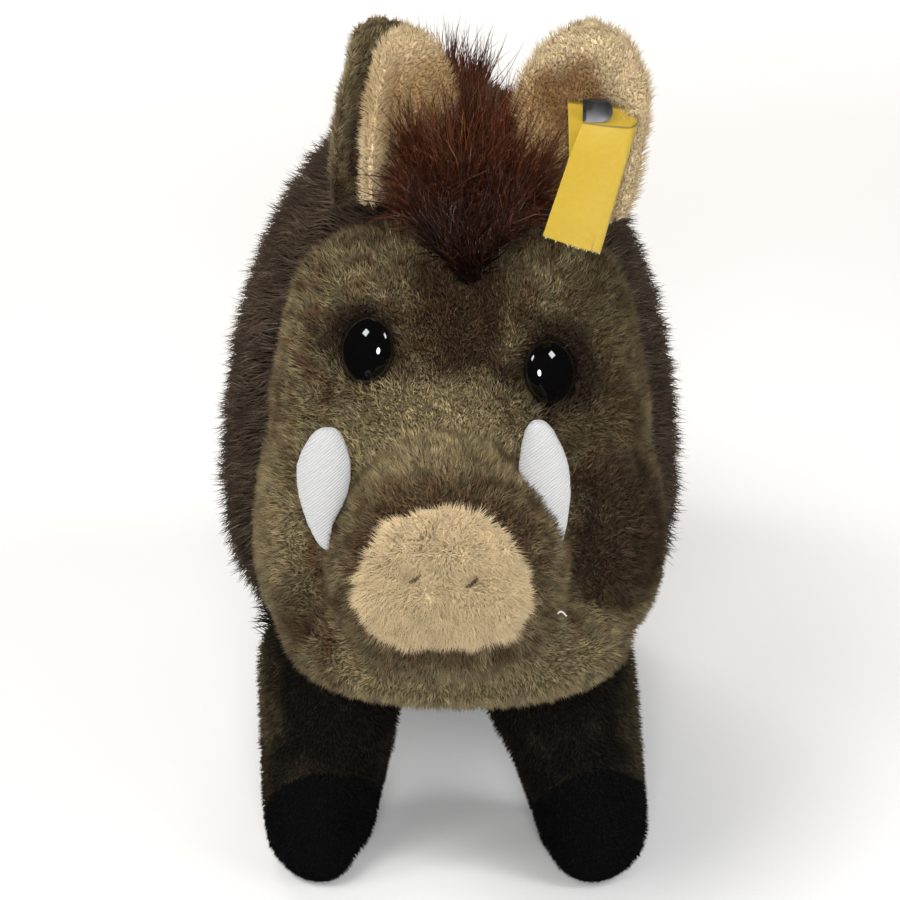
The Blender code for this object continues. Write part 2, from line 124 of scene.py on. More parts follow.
class PileSettings(bpy.types.PropertyGroup):
    """Length of the pile on each kind of plush, and how thickly it grows."""
    trunk: size_of("Trunk pile", 0.0085, "Length of the pile on the trunk and neck")
    head: size_of("Head pile", 0.0027, "Length of the pile on the face")
    leg: size_of("Leg pile", 0.0023, "Length of the pile on the legs")
    foot: size_of("Foot pile", 0.0013, "Length of the pile on the feet")
    ear: size_of("Ear pile", 0.0027, "Length of the pile on the ears")
    snout: size_of("Snout pile", 0.0036, "Length of the pile on the snout disc")
    thickness: share_of("Thickness", 1.0, "How thickly every pile grows, where 1 is as made")


class HairSettings(bpy.types.PropertyGroup):
    """The long glossy hair of the mane and tail."""
    forelock: size_of("Forelock", 0.0270, "Length of the hair between the ears")
    crest: size_of("Crest", 0.0200, "Length of the hair along the back")
    tail: size_of("Tail", 0.0190, "Length of the hair at the end of the tail")
    strand: size_of("Strand", 0.00043, "Width of one strand at its root")


class ColourSettings(bpy.types.PropertyGroup):
    """Colours of the fabrics at the tips of their pile."""
    body: colour_of("Body", (0.076, 0.051, 0.033), "Long pile of the trunk and neck")
    frost: colour_of("Frost", (0.36, 0.30, 0.24), "Pale tips of single hairs in the long pile")
    head: colour_of("Head", (0.194, 0.152, 0.078), "Olive pile of the head, legs and ear backs")
    # Shade is also used for painted shade round the eyes and at the foot of the right ear.
    shade: colour_of("Shade", (0.044, 0.025, 0.012), "Brown that is sprayed on the olive pile")
    snout: colour_of("Snout", (0.59, 0.462, 0.278), "Snout disc and ear linings")
    foot: colour_of("Foot", (0.0040, 0.0038, 0.0038), "Feet")
    mane: colour_of("Mane", (0.062, 0.017, 0.006), "Forelock, crest and tail tuft")
    tusk: colour_of("Tusk", (0.42, 0.42, 0.42), "Cloth of the tusks")
    ribbon: colour_of("Ribbon", (0.41, 0.275, 0.022), "Ribbon of the tag")


class StageSettings(bpy.types.PropertyGroup):
    """Camera, lights and floor."""
    distance: size_of("Camera distance", 0.80, "From the camera to what it looks at")
    elevation: FloatProperty(
        name="Camera elevation", default=math.radians(19), subtype="ANGLE",
        description="How far above the horizon the camera stands")
    lens: FloatProperty(
        name="Lens", default=134.4, subtype="DISTANCE_CAMERA", description="Focal length in millimetres")
    light: share_of("Light", 1.0, "Strength of every lamp, where 1 is as made")


class BoarSettings(bpy.types.PropertyGroup):
    """Everything that can be set."""
    pile: PointerProperty(type=PileSettings)
    hair: PointerProperty(type=HairSettings)
    colour: PointerProperty(type=ColourSettings)
    stage: PointerProperty(type=StageSettings)


def settings():
    return bpy.context.scene.plush_boar


# Objects and modifiers.

def only(*things):
    """Select these things alone, with the first of them active."""
    bpy.ops.object.select_all(action="DESELECT")
    for thing in things:
        thing.select_set(True)
    bpy.context.view_layer.objects.active = things[0]


@contextmanager
def editing(thing, kind="VERT", wanted=None):
    """Edit mode with all of a thing selected, or only its wanted edges or faces."""
    only(thing)
    bpy.ops.object.mode_set(mode="EDIT")
    bpy.ops.mesh.select_mode(type=kind)
    bpy.ops.mesh.select_all(action="DESELECT" if wanted else "SELECT")
    if wanted:
        bpy.ops.object.mode_set(mode="OBJECT")
        for item in thing.data.edges if kind == "EDGE" else thing.data.polygons:
            item.select = wanted(item)
        bpy.ops.object.mode_set(mode="EDIT")
    yield
    bpy.ops.object.mode_set(mode="OBJECT")


def start_from(kind, name, **values):
    """A new primitive, selected alone and active."""
    bpy.ops.object.select_all(action="DESELECT")
    getattr(bpy.ops.mesh, f"primitive_{kind}_add")(**values)
    thing = bpy.context.object
    thing.name = thing.data.name = name
    return thing


def apply_modifier(thing, kind, **values):
    """Add a modifier, set it and apply it."""
    only(thing)
    modifier = thing.modifiers.new(kind.title(), kind)
    for name, value in values.items():
        setattr(modifier, name, value)
    bpy.ops.object.modifier_apply(modifier=modifier.name)


def smooth_to(thing, degrees):
    """Shade a thing smooth, with sharp edges where its faces turn by more than this."""
    only(thing)
    bpy.ops.object.shade_smooth_by_angle(angle=math.radians(degrees))


def new_object(name, data):
    thing = bpy.data.objects.new(name, data)
    bpy.context.scene.collection.objects.link(thing)
    return thing


def finish_piece(thing, material, slot, *nodes):
    """Give a piece its material and its body, and hide the CAD nodes that it stands for.  Its slot is
    not used.
    """
    thing.data.materials.clear()
    thing.data.materials.append(material)
    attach(thing, "root")
    if nodes:
        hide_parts(*nodes)


def threes(items, key, kind=np.float32):
    """The three values that each item keeps under a name."""
    found = np.empty(len(items) * 3, kind)
    items.foreach_get(key, found)
    return found.reshape(-1, 3)


def places_of(mesh):
    return threes(mesh.vertices, "co").astype(float)


def normals_of(mesh):
    return threes(mesh.vertex_normals, "vector").astype(float)


def put_places(mesh, places):
    mesh.vertices.foreach_set("co", places.astype(np.float32).ravel())
    mesh.update()


# Numbers.

def evenly(value):
    """A function that gives this value at every place."""
    return lambda places: np.full(len(places), value)


def unit(vectors):
    return vectors / np.maximum(np.linalg.norm(vectors, axis=-1, keepdims=True), 1e-9)


def ramp(low, high, values):
    """Rises smoothly from 0 to 1 while the values go from low to high."""
    share = np.clip((values - low) / (high - low), 0.0, 1.0)
    return share * share * (3.0 - 2.0 * share)


def near(places, centre, radii):
    """1 at a centre, falling smoothly to 0 at an ellipsoid round it."""
    return ramp(1.0, 0.0, np.linalg.norm((places - np.array(centre)) / np.array(radii), axis=1))


def fold(places, line, half_width):
    """1 along a line of points, falling smoothly to 0 at this distance from it."""
    nearest = np.full(len(places), np.inf)
    for start, end in zip(line[:-1], line[1:]):
        start, way = np.array(start), np.array(end) - np.array(start)
        share = np.clip((places - start) @ way / (way @ way), 0.0, 1.0)
        nearest = np.minimum(nearest, np.linalg.norm(places - start - share[:, None] * way, axis=1))
    return ramp(half_width, 0.0, nearest)


def ripple(places, wave, seed):
    """A smooth random value, mostly from -1 to 1, that changes over about this distance."""
    rng = np.random.default_rng(seed)
    total = np.zeros(len(places))
    for _ in range(7):
        way = unit(rng.normal(size=3)) * 2 * math.pi / (wave * rng.uniform(0.6, 1.5))
        total += np.sin(places @ way + rng.uniform(0, 2 * math.pi))
    return total / 2.6


# Fabric skins.

def merged_copy(name, nodes):
    """One mesh from copies of CAD nodes, whose loose triangles are merged."""
    copies = [new_object(name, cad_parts[node].data.copy()) for node in nodes]
    only(*copies)
    if len(copies) > 1:
        bpy.ops.object.join()
    skin = copies[0]
    with editing(skin):
        bpy.ops.mesh.remove_doubles(threshold=1e-6)
        bpy.ops.mesh.normals_make_consistent(inside=False)
    skin.name = skin.data.name = name
    return skin


def sink(skin, depth, steps=4):
    """Draw a skin in, from the tips of its pile to their roots, a little at a time."""
    for _ in range(steps):
        places = places_of(skin.data)
        drawn = depth(places) / steps
        put_places(skin.data, places - normals_of(skin.data) * drawn[:, None])
        apply_modifier(skin, "SMOOTH", factor=0.5, iterations=1)


def unwrap(skin):
    """Lay the skin's own shape out flat on the bake map."""
    while skin.data.uv_layers:
        skin.data.uv_layers.remove(skin.data.uv_layers[0])
    skin.data.uv_layers.new(name=BAKE_MAP)
    with editing(skin):
        bpy.ops.uv.smart_project(angle_limit=math.radians(70), island_margin=0.004)


def fabric_skin(name, nodes, voxel, depth, smoothing=6):
    """One fabric skin over some CAD nodes, with no seam between them."""
    skin = merged_copy(name, nodes)
    apply_modifier(skin, "DISPLACE", strength=OVERLAP, mid_level=0.0)
    apply_modifier(skin, "REMESH", mode="VOXEL", voxel_size=voxel)
    apply_modifier(skin, "SMOOTH", factor=0.5, iterations=smoothing)
    sink(skin, lambda places: depth(places) + OVERLAP)
    return skin


def stuff(skin, seams, most):
    """Swell a skin as its stuffing does, held along its seams, with no point moved further than this."""
    held = skin.vertex_groups.new(name="seams")
    before = places_of(skin.data)
    for index, weight in enumerate(seams(before)):
        held.add([index], float(weight), "REPLACE")
    only(skin)
    stuffing = skin.modifiers.new("Stuffing", "CLOTH")
    fabric = stuffing.settings
    fabric.quality = 5
    fabric.use_pressure = True
    fabric.uniform_pressure_force = PRESSURE
    fabric.effector_weights.gravity = 0.0
    fabric.vertex_group_mass = held.name
    stuffing.point_cache.frame_start = 1
    stuffing.point_cache.frame_end = LAST_MOMENT
    for moment in range(1, LAST_MOMENT + 1):
        bpy.context.scene.frame_set(moment)
    bpy.ops.object.modifier_apply(modifier=stuffing.name)
    bpy.context.scene.frame_set(1)
    skin.vertex_groups.clear()
    moved = places_of(skin.data) - before
    far = np.linalg.norm(moved, axis=1, keepdims=True)
    put_places(skin.data, before + moved * np.minimum(1.0, most / np.maximum(far, 1e-9)))
    apply_modifier(skin, "SMOOTH", factor=0.5, iterations=2)


# Pile: closed tufts on a skin.

def spread_roots(skin, per_mm2, seed):
    """Roots strewn evenly over a skin, as thickly as a function of their place says."""
    mesh = skin.data
    mesh.calc_loop_triangles()
    corners = threes(mesh.loop_triangles, "vertices", np.int32)
    loops = threes(mesh.loop_triangles, "loops", np.int32)
    laid = np.empty(len(mesh.loops) * 2, np.float32)
    mesh.uv_layers[BAKE_MAP].uv.foreach_get("vector", laid)
    laid = laid.reshape(-1, 2).astype(float)
    places, normals = places_of(mesh), normals_of(mesh)
    a, b, c = places[corners].transpose(1, 0, 2)
    area = np.linalg.norm(np.cross(b - a, c - a), axis=1) / 2
    wanted = area / MM ** 2 * per_mm2((a + b + c) / 3) * settings().pile.thickness
    rng = np.random.default_rng(seed)
    total = int(wanted.sum())
    steps = (np.arange(total) + rng.random(total)) * wanted.sum() / total
    which = np.searchsorted(np.cumsum(wanted), steps).clip(0, len(corners) - 1)
    first, second = rng.random((2, total))
    over = first + second > 1
    first[over], second[over] = 1 - first[over], 1 - second[over]
    weights = np.stack([1 - first - second, first, second], 1)[:, :, None]
    return SimpleNamespace(
        places=(places[corners[which]] * weights).sum(1),
        normals=unit((normals[corners[which]] * weights).sum(1)),
        laid=(laid[loops[which]] * weights).sum(1),
    )


def some_of(roots, chosen):
    """The chosen ones of some roots or tufts."""
    return SimpleNamespace(**{name: value[chosen] for name, value in vars(roots).items()})


def mesh_of(name, corners, triangles):
    """A smooth mesh from arrays."""
    mesh = bpy.data.meshes.new(name)
    mesh.vertices.add(len(corners))
    mesh.vertices.foreach_set("co", corners.astype(np.float32).ravel())
    mesh.loops.add(triangles.size)
    mesh.loops.foreach_set("vertex_index", triangles.astype(np.int32).ravel())
    mesh.polygons.add(len(triangles))
    mesh.polygons.foreach_set("loop_start", np.arange(0, triangles.size, 3, dtype=np.int32))
    mesh.update(calc_edges=True)
    mesh.shade_smooth()
    return mesh


def tuft_pattern(rings):
    """Faces of one closed tuft of three-cornered rings and a tip."""
    faces = [(2, 1, 0)]
    for ring in range(rings - 1):
        for side in range(3):
            near_one, near_two = ring * 3 + side, ring * 3 + (side + 1) % 3
            faces.append((near_one, near_two, near_two + 3))
            faces.append((near_one, near_two + 3, near_one + 3))
    last = (rings - 1) * 3
    for side in range(3):
        faces.append((last + side, last + (side + 1) % 3, last + 3))
    return np.array(faces)


def tuft_mesh(name, tufts, rings, taper=0.8):
    """Joined tufts.  Each bends from the way it sprouts to the way of its tip."""
    count, each = len(tufts.places), rings * 3 + 1
    rng = np.random.default_rng(count)
    across = unit(np.cross(tufts.sprout, rng.normal(size=(count, 3))))
    over = np.cross(tufts.sprout, across)
    corners = np.empty((count, each, 3))
    along = np.empty((count, each))
    spots = np.empty((count, each, 2))

    def line(share):
        bent = tufts.sprout * share + (tufts.tip - tufts.sprout) * share * share / 2
        return tufts.places + tufts.length[:, None] * bent

    for ring in range(rings):
        share = ring / rings
        radius = tufts.width[:, None] / 2 * (1 - share) ** taper
        middle = line(share) if ring else tufts.places - tufts.sprout * ROOT_DEPTH
        for side in range(3):
            turn = 2 * math.pi * side / 3
            index = ring * 3 + side
            corners[:, index] = middle + radius * (math.cos(turn) * across + math.sin(turn) * over)
            along[:, index] = share
            spots[:, index] = ((side - 1) / 2 * (1 - share), share - 0.5)
    corners[:, -1] = line(1.0)
    along[:, -1] = 1.0
    spots[:, -1] = (0.0, 0.5)

    step = np.arange(count)[:, None, None] * each
    triangles = (tuft_pattern(rings)[None] + step).reshape(-1, 3)
    mesh = mesh_of(name, corners.reshape(-1, 3), triangles)
    kept = (
        ("root", "FLOAT_VECTOR", "vector", np.repeat(tufts.places[:, None], each, 1)),
        ("along", "FLOAT", "value", along),
        ("tint", "FLOAT", "value", np.repeat(tufts.tint[:, None], each, 1)),
    )
    for title, kind, key, values in kept:
        attribute = mesh.attributes.new(title, kind, "POINT")
        attribute.data.foreach_set(key, values.astype(np.float32).ravel())
    laid = (tufts.laid[:, None] + spots * PATCH).reshape(-1, 2)[triangles.ravel()]
    mesh.uv_layers.new(name=BAKE_MAP).uv.foreach_set("vector", laid.astype(np.float32).ravel())
    return mesh


def clump(tufts, each, pull, seed):
    """Draw the tips of neighbouring tufts towards each other, about so many to a clump."""
    count = len(tufts.places)
    rng = np.random.default_rng(seed)
    chosen = rng.choice(count, max(1, count // each), replace=False)
    tree = KDTree(len(chosen))
    for index, which in enumerate(chosen):
        tree.insert(tufts.places[which], index)
    tree.balance()
    found = np.array([tree.find(place)[1] for place in tufts.places])
    gap = tufts.places[chosen[found]] - tufts.places
    tufts.tint = 0.5 * tufts.tint + 0.5 * rng.random(len(chosen))[found]
    strength = pull * rng.uniform(0.4, 1.2, count)
    tufts.tip = unit(tufts.tip + 2 * gap * (strength / tufts.length)[:, None])


def lay_pile(roots, flow, length, width, leans, seed, mess=0.22, swirl=0.35, wave=14 * MM, nods=0.14):
    """Turn roots into tufts that lie along a flow, which is one way for all or one for each.

    Leans are how far a tuft's root and its tip turn from the skin's normal, in radians.
    """
    rng = np.random.default_rng(seed)
    count = len(roots.places)
    normal = roots.normals
    lie = unit(flow - normal * (flow * normal).sum(1, keepdims=True))
    side = np.cross(normal, lie)
    turn = (swirl * ripple(roots.places, wave, seed) + mess * rng.normal(size=count))[:, None]
    lie = lie * np.cos(turn) + side * np.sin(turn)
    nod = 0.16 * rng.normal(size=count) + nods * ripple(roots.places, wave / 2, seed + 1)
    ways = []
    for lean in leans:
        angle = np.clip(lean + nod, 0.05, 1.5)[:, None]
        ways.append(normal * np.cos(angle) + lie * np.sin(angle))
    roots.sprout, roots.tip = ways
    roots.length = length * rng.uniform(0.72, 1.12, count)
    roots.width = width * rng.uniform(0.75, 1.25, count)
    roots.tint = rng.random(count)
    return roots


def add_coat(name, tufts, rings, material, slot, *nodes):
    """Make the tufts into pieces that are small enough, from the front to the rear."""
    each = 6 * rings - 2
    pieces = math.ceil(len(tufts.places) * each / MOST_TRIANGLES)
    order = np.argsort(tufts.places[:, 1], kind="stable")
    for number, chosen in enumerate(np.array_split(order, pieces), 1):
        title = f"{name}_{number}" if pieces > 1 else name
        mesh = tuft_mesh(title, some_of(tufts, chosen), rings)
        finish_piece(new_object(title, mesh), material, slot, *nodes)


# Materials.

def node(tree, kind, values=(), **options):
    """A shader node, with its options and the values or links of its inputs by name or number."""
    made = tree.nodes.new("ShaderNode" + kind)
    for name, value in options.items():
        setattr(made, name, value)
    for key, value in dict(values).items():
        socket = made.inputs[key]
        if isinstance(value, bpy.types.NodeSocket):
            tree.links.new(value, socket)
        else:
            socket.default_value = value
    return made


def mixed(tree, factor, first, second, blend="MIX"):
    """A mix of two colours, each of them a link or a plain colour."""
    made = node(tree, "Mix", data_type="RGBA", blend_type=blend)
    for index, value in ((0, factor), (6, first), (7, second)):
        if isinstance(value, bpy.types.NodeSocket):
            tree.links.new(value, made.inputs[index])
        elif index:
            made.inputs[index].default_value = (*value[:3], 1.0)
        else:
            made.inputs[index].default_value = value
    return made.outputs[2]


def number(tree, operation, *values):
    return node(tree, "Math", dict(enumerate(values)), operation=operation).outputs[0]


def remap(tree, value, low, high, to_low=0.0, to_high=1.0, smooth=True):
    """A value carried from one range to another, and held at its ends."""
    kind = "SMOOTHSTEP" if smooth else "LINEAR"
    values = {"Value": value, "From Min": low, "From Max": high, "To Min": to_low, "To Max": to_high}
    return node(tree, "MapRange", values, interpolation_type=kind).outputs[0]


def noise(tree, vector, scale, detail=2.0, rough=0.5):
    values = {"Vector": vector, "Scale": scale, "Detail": detail, "Roughness": rough}
    return node(tree, "TexNoise", values).outputs["Fac"]


def object_place(tree):
    """A place on the piece, in metres."""
    return node(tree, "TexCoord").outputs["Object"]


def roughen(tree, shader, height, strength, distance):
    """Let a height between 0 and 1 stand out by this distance."""
    bump = node(tree, "Bump", {"Height": height, "Strength": strength, "Distance": distance})
    tree.links.new(bump.outputs[0], shader.inputs["Normal"])


def times(colour, gain):
    return tuple(part * gain for part in colour)


def new_material(name, **values):
    """A Principled material whose plain values are set on its own sockets."""
    made = bpy.data.materials.new(name)
    made.use_nodes = True
    shader = made.node_tree.nodes["Principled BSDF"]
    for key, value in values.items():
        shader.inputs[key.replace("_", " ")].default_value = value
    return made, made.node_tree, shader


def markings(name, base, spots, mottle, mottle_colour):
    """A node group that gives a fabric's colour from a place on it.

    A spot is (centre, radii, colour, strength), with its softness where that isn't SOFT, and later
    spots lie over earlier ones.
    """
    group = bpy.data.node_groups.new(name, "ShaderNodeTree")
    group.interface.new_socket("Place", in_out="INPUT", socket_type="NodeSocketVector")
    group.interface.new_socket("Colour", in_out="OUTPUT", socket_type="NodeSocketColor")
    place = group.nodes.new("NodeGroupInput").outputs[0]
    blotch = noise(group, place, 1 / mottle, detail=3.0)
    colour = mixed(group, remap(group, blotch, 0.42, 0.66), base, mottle_colour)
    wander = noise(group, place, 90.0, detail=2.0)
    for centre, radii, spot_colour, strength, *own_soft in spots:
        soft = own_soft[0] if own_soft else SOFT
        away = node(group, "VectorMath", {0: place, 1: centre}, operation="SUBTRACT").outputs[0]
        away = node(group, "VectorMath", {0: away, 1: radii}, operation="DIVIDE").outputs[0]
        away = node(group, "VectorMath", {0: away}, operation="LENGTH").outputs["Value"]
        away = number(group, "ADD", away, number(group, "MULTIPLY_ADD", wander, 1.6 * soft, -0.8 * soft))
        cover = remap(group, away, 1.0 - soft, 1.0, strength, 0.0)
        colour = mixed(group, cover, colour, spot_colour)
    out = group.nodes.new("NodeGroupOutput")
    group.links.new(colour, out.inputs[0])
    return group


def marked(tree, make_markings, place):
    """The colour that markings give at a place.  Their group is made when it is first asked for."""
    made = tree.nodes.new("ShaderNodeGroup")
    made.node_tree = bpy.data.node_groups.get(make_markings.__name__) or make_markings()
    tree.links.new(place, made.inputs[0])
    return made.outputs[0]


def skin_material(name, make_markings, dark=CLOTH_DARK):
    """The woven back of a plush, which shows as shade between its tufts."""
    made, tree, shader = new_material(name, Roughness=0.95, Specular_IOR_Level=0.1)
    place = object_place(tree)
    colour = marked(tree, make_markings, place)
    weave = noise(tree, place, 1400.0, detail=3.0)
    shade = mixed(tree, remap(tree, weave, 0.3, 0.7), (dark * 0.5,) * 3, (dark * 1.3,) * 3)
    tree.links.new(mixed(tree, 1.0, colour, shade, "MULTIPLY"), shader.inputs["Base Color"])
    roughen(tree, shader, weave, 0.6, 0.3 * MM)
    return made


def pile_material(
        name, make_markings, dark, tip_gain, vary=0.4, frost=None, frost_and_glint_share=0.0, roughness=0.8,
        sheen=0.0, gloss=0.15):
    """Pile that is dark at its roots, coloured further out, and uneven from tuft to tuft."""
    made, tree, shader = new_material(
        name, Roughness=roughness, Specular_IOR_Level=gloss, Sheen_Weight=sheen, Sheen_Roughness=0.5,
        Sheen_Tint=(0.85, 0.72, 0.50, 1.0))
    root = node(tree, "Attribute", attribute_name="root").outputs["Vector"]
    along = node(tree, "Attribute", attribute_name="along").outputs["Fac"]
    tint = node(tree, "Attribute", attribute_name="tint").outputs["Fac"]
    colour = marked(tree, make_markings, root)
    bright = number(tree, "POWER", tint, 2.0)
    gain = remap(tree, bright, 0.0, 0.8, (1 - vary) * tip_gain, (1 + 2 * vary) * tip_gain, smooth=False)
    strand = number(tree, "MULTIPLY", gain, remap(tree, along, 0.0, 0.85, dark, 1.0))
    colour = node(tree, "VectorMath", {0: colour, "Scale": strand}, operation="SCALE").outputs[0]
    # Pale tips on a few tufts: real pale hairs in the trunk's pile, painted glints on the head and on
    # the long hair.
    if frost:
        pale = remap(tree, tint, 1.0 - frost_and_glint_share, 1.0 - frost_and_glint_share * 0.6, 0.0, 0.8)
        pale = number(tree, "MULTIPLY", pale, remap(tree, along, 0.35, 1.0))
        colour = mixed(tree, pale, colour, frost)
    tree.links.new(colour, shader.inputs["Base Color"])
    return made


# Markings, shared by skin and pile.

def head_markings():
    """Olive plush, sprayed brown at the brow, round the snout and on the left cheek, with painted shade
    round the eyes and at the foot of the right ear, and painted light on the right cheek.
    """
    colour = settings().colour
    shade = tuple(colour.shade)
    olive = tuple(colour.head)
    body = tuple(colour.body)
    left, right = EYES["left"], EYES["right"]
    spots = (
        ((0.037, -0.086, 0.152), (0.018, 0.030, 0.026), (0.094, 0.068, 0.030), 0.80),
        # Painted shade where the head meets the foot of the right ear.
        ((-0.019, -0.068, 0.175), (0.016, 0.016, 0.010), times(shade, 0.5), 0.90),
        ((0.003, -0.098, 0.156), (0.019, 0.040, 0.026), (0.042, 0.021, 0.008), 0.94),
        ((0.005, -0.100, 0.143), (0.012, 0.030, 0.014), times(shade, 1.2), 0.55),
        ((0.034, -0.100, 0.128), (0.017, 0.034, 0.020), times(shade, 1.3), 0.60),
        ((0.041, -0.104, 0.106), (0.021, 0.034, 0.026), times(shade, 0.9), 0.90),
        # Painted light: the right cheek lightened as if lit from that side.
        ((-0.042, -0.095, 0.101), (0.014, 0.030, 0.030), times(olive, 1.40), 0.80),
        ((-0.034, -0.110, 0.0905), (0.009, 0.030, 0.010), shade, 0.55),
        # Painted shade round the eyes, where they sit in the pile.
        (right + Vector((-0.0015, 0.0, 0.0015)), (0.0145, 0.020, 0.0130), times(shade, 0.5), 0.95),
        (left + Vector((0.0010, 0.0, 0.0010)), (0.0145, 0.020, 0.0140), times(shade, 0.5), 0.95),
        ((-0.004, -0.112, 0.1335), (0.028, 0.024, 0.0150), times(olive, 1.55), 0.90),
        ((-0.022, -0.106, 0.1230), (0.010, 0.024, 0.0140), times(olive, 1.45), 0.70),
        (SNOUT + Vector((0.0, 0.002, 0.001)), (0.031, 0.017, 0.030), times(shade, 2.1), 0.85, 0.40),
        ((0.002, -0.118, 0.0770), (0.046, 0.040, 0.0130), times(olive, 1.36), 0.85),
        ((0.030, -0.110, 0.0850), (0.016, 0.020, 0.0080), times(olive, 1.40), 0.70),
        ((0.0, -0.056, 0.120), (0.080, 0.020, 0.090), times(body, 1.1), 0.85),
    )
    return markings("head_markings", olive, spots, 5.0 * MM, times(shade, 2.4))


def body_markings():
    """Brown plush and black feet, with painted shade on the nape behind the head.  The olive legs are
    painted almost black as painted shade under the head, and stay olive on their outer sides, most on
    the right, as painted light.
    """
    colour = settings().colour
    body, olive = tuple(colour.body), tuple(colour.head)
    # Painted shade on the nape, behind the head.
    nape = (0.0, NECK_FRONT + 0.012, 0.172)
    spots = [(nape, (0.050, 0.026, 0.022), times(body, 0.35), 0.90)]
    for limb in LIMBS:
        leg, foot = centre_of("leg_" + limb), centre_of("foot_" + limb)
        # Painted shade: the legs darkened almost to black under the head.  Painted light: their outer
        # sides kept olive, most on the right.
        shaded_leg = (leg.x, leg.y, leg.z - 0.010)
        spots.append((shaded_leg, (0.040, 0.040, 0.060), times(olive, 0.036), 0.96))
        outside = (leg.x + math.copysign(0.023, leg.x), leg.y - 0.004, leg.z - 0.006)
        lit_side_strength = 0.85 if leg.x < 0 else 0.50
        spots.append((outside, (0.0135, 0.030, 0.040), times(olive, 0.50), lit_side_strength, 0.70))
        sock = (foot.x, foot.y, -0.030)
        spots.append((sock, (0.100, 0.100, 0.045), tuple(colour.foot), 1.0, 0.03))
        toe = (foot.x + max(0.0, math.copysign(0.003, foot.x)), foot.y - 0.012, 0.0066)
        spots.append((toe, (0.0168, 0.034, 0.0244), tuple(colour.foot), 1.0, 0.05))
    return markings("body_markings", body, spots, 14 * MM, times(body, 0.62))


def pale_markings():
    """The apricot plush of the snout disc and the ear linings, browner low on the linings, with painted
    shade in the cup of the left lining and in the dimples at the nostril stitches.
    """
    pale = tuple(settings().colour.snout)
    brown = (0.18, 0.082, 0.022)
    golden = (0.37, 0.220, 0.080)
    left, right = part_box("ear_lining_left")[0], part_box("ear_lining_right")[0]
    right_edge = Vector((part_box("ear_lining_right")[1].x, right.y, right.z))
    spots = [
        (SNOUT - Vector((0.0, SNOUT_HALF.y, 0.0)), (0.017, 0.012, 0.015), times(pale, 0.88), 0.75),
        (left + Vector((0.003, 0.0, 0.016)), (0.012, 0.014, 0.022), golden, 0.75),
        # Painted shade in the cup of the left lining.
        (left + Vector((0.009, 0.0, 0.030)), (0.0135, 0.013, 0.012), brown, 0.86, 0.60),
        (right_edge + Vector((-0.001, 0.004, 0.022)), (0.022, 0.020, 0.024), golden, 0.75),
        (right_edge + Vector((0.002, 0.004, 0.006)), (0.014, 0.020, 0.020), brown, 0.70),
        (left + Vector((0.0, 0.006, 0.0)), (0.020, 0.020, 0.020), times(brown, 0.7), 0.60),
    ]
    for side in SIDES:
        stitch = centre_of("nostril_stitch_" + side)
        # Painted shade in the dimple at each stitch.
        spots.append((stitch, (0.0034, 0.006, 0.0024), times(brown, 0.8), 0.45))
    return markings("pale_markings", pale, spots, 7 * MM, times(pale, 0.86))


# Pieces: skins.

def clothe(skin, name, make_markings, slot, *nodes, dark=CLOTH_DARK):
    """Lay a skin out flat and make it of marked cloth, in place of the solids that it covers."""
    unwrap(skin)
    finish_piece(skin, skin_material(name, make_markings, dark), slot, *nodes)


def leg_share(places):
    """1 on the legs and feet, falling to 0 where they join the trunk."""
    found = np.zeros(len(places))
    for limb in LIMBS:
        leg = centre_of("leg_" + limb)
        away = np.hypot(places[:, 0] - leg.x, places[:, 1] - leg.y)
        found = np.maximum(found, ramp(0.036, 0.027, away) * ramp(0.066, 0.052, places[:, 2]))
    return found


def foot_share(places):
    """1 below the top of the feet, and 0 above it."""
    return ramp(FOOT_TOP + 0.0012, FOOT_TOP - 0.0006, places[:, 2])


LEG_SWELLS = (              # (centre, radii, how far it stands out)
    ((0.0125, -0.0560, 0.0480), (0.014, 0.030, 0.026), 0.0055),
    ((-0.0150, -0.0560, 0.0500), (0.014, 0.030, 0.026), 0.0022),
    ((0.0200, -0.0600, 0.0100), (0.010, 0.030, 0.022), -0.0022),
    ((-0.0190, -0.0600, 0.0100), (0.012, 0.030, 0.028), -0.0034),
    ((0.0340, -0.0680, 0.0030), (0.019, 0.014, 0.013), 0.0026),
    ((-0.0310, -0.0680, 0.0030), (0.019, 0.014, 0.013), 0.0026),
)


def body_depth(places):
    """How deep the fabric lies, by the length of the pile that grows there."""
    pile = settings().pile
    legs, feet = leg_share(places), foot_share(places)
    deep = 0.60 * pile.trunk * (1 - legs) + 0.68 * pile.leg * legs
    deep = deep * (1 - feet) + 0.74 * pile.foot * feet
    for centre, radii, out in LEG_SWELLS:
        deep = deep - out * near(places, centre, radii)
    return deep


def body_seams(places):
    """The seams of back and belly, of the leg tops, and the soles."""
    middle = ramp(0.004, 0.001, np.abs(places[:, 0]))
    tops = ramp(0.004, 0.001, np.abs(places[:, 2] - 0.056)) * (leg_share(places) > 0.1)
    return np.maximum.reduce([middle, tops, ramp(0.030, 0.026, places[:, 2])])


def make_body_skin():
    """The stuffed trunk, neck and legs, in one fabric."""
    skin = fabric_skin("body_skin", BODY_NODES, voxel=2.4 * MM, depth=body_depth)
    stuff(skin, body_seams, 1.6 * MM)
    clothe(skin, "body_cloth", body_markings, "body_plush", *BODY_NODES)


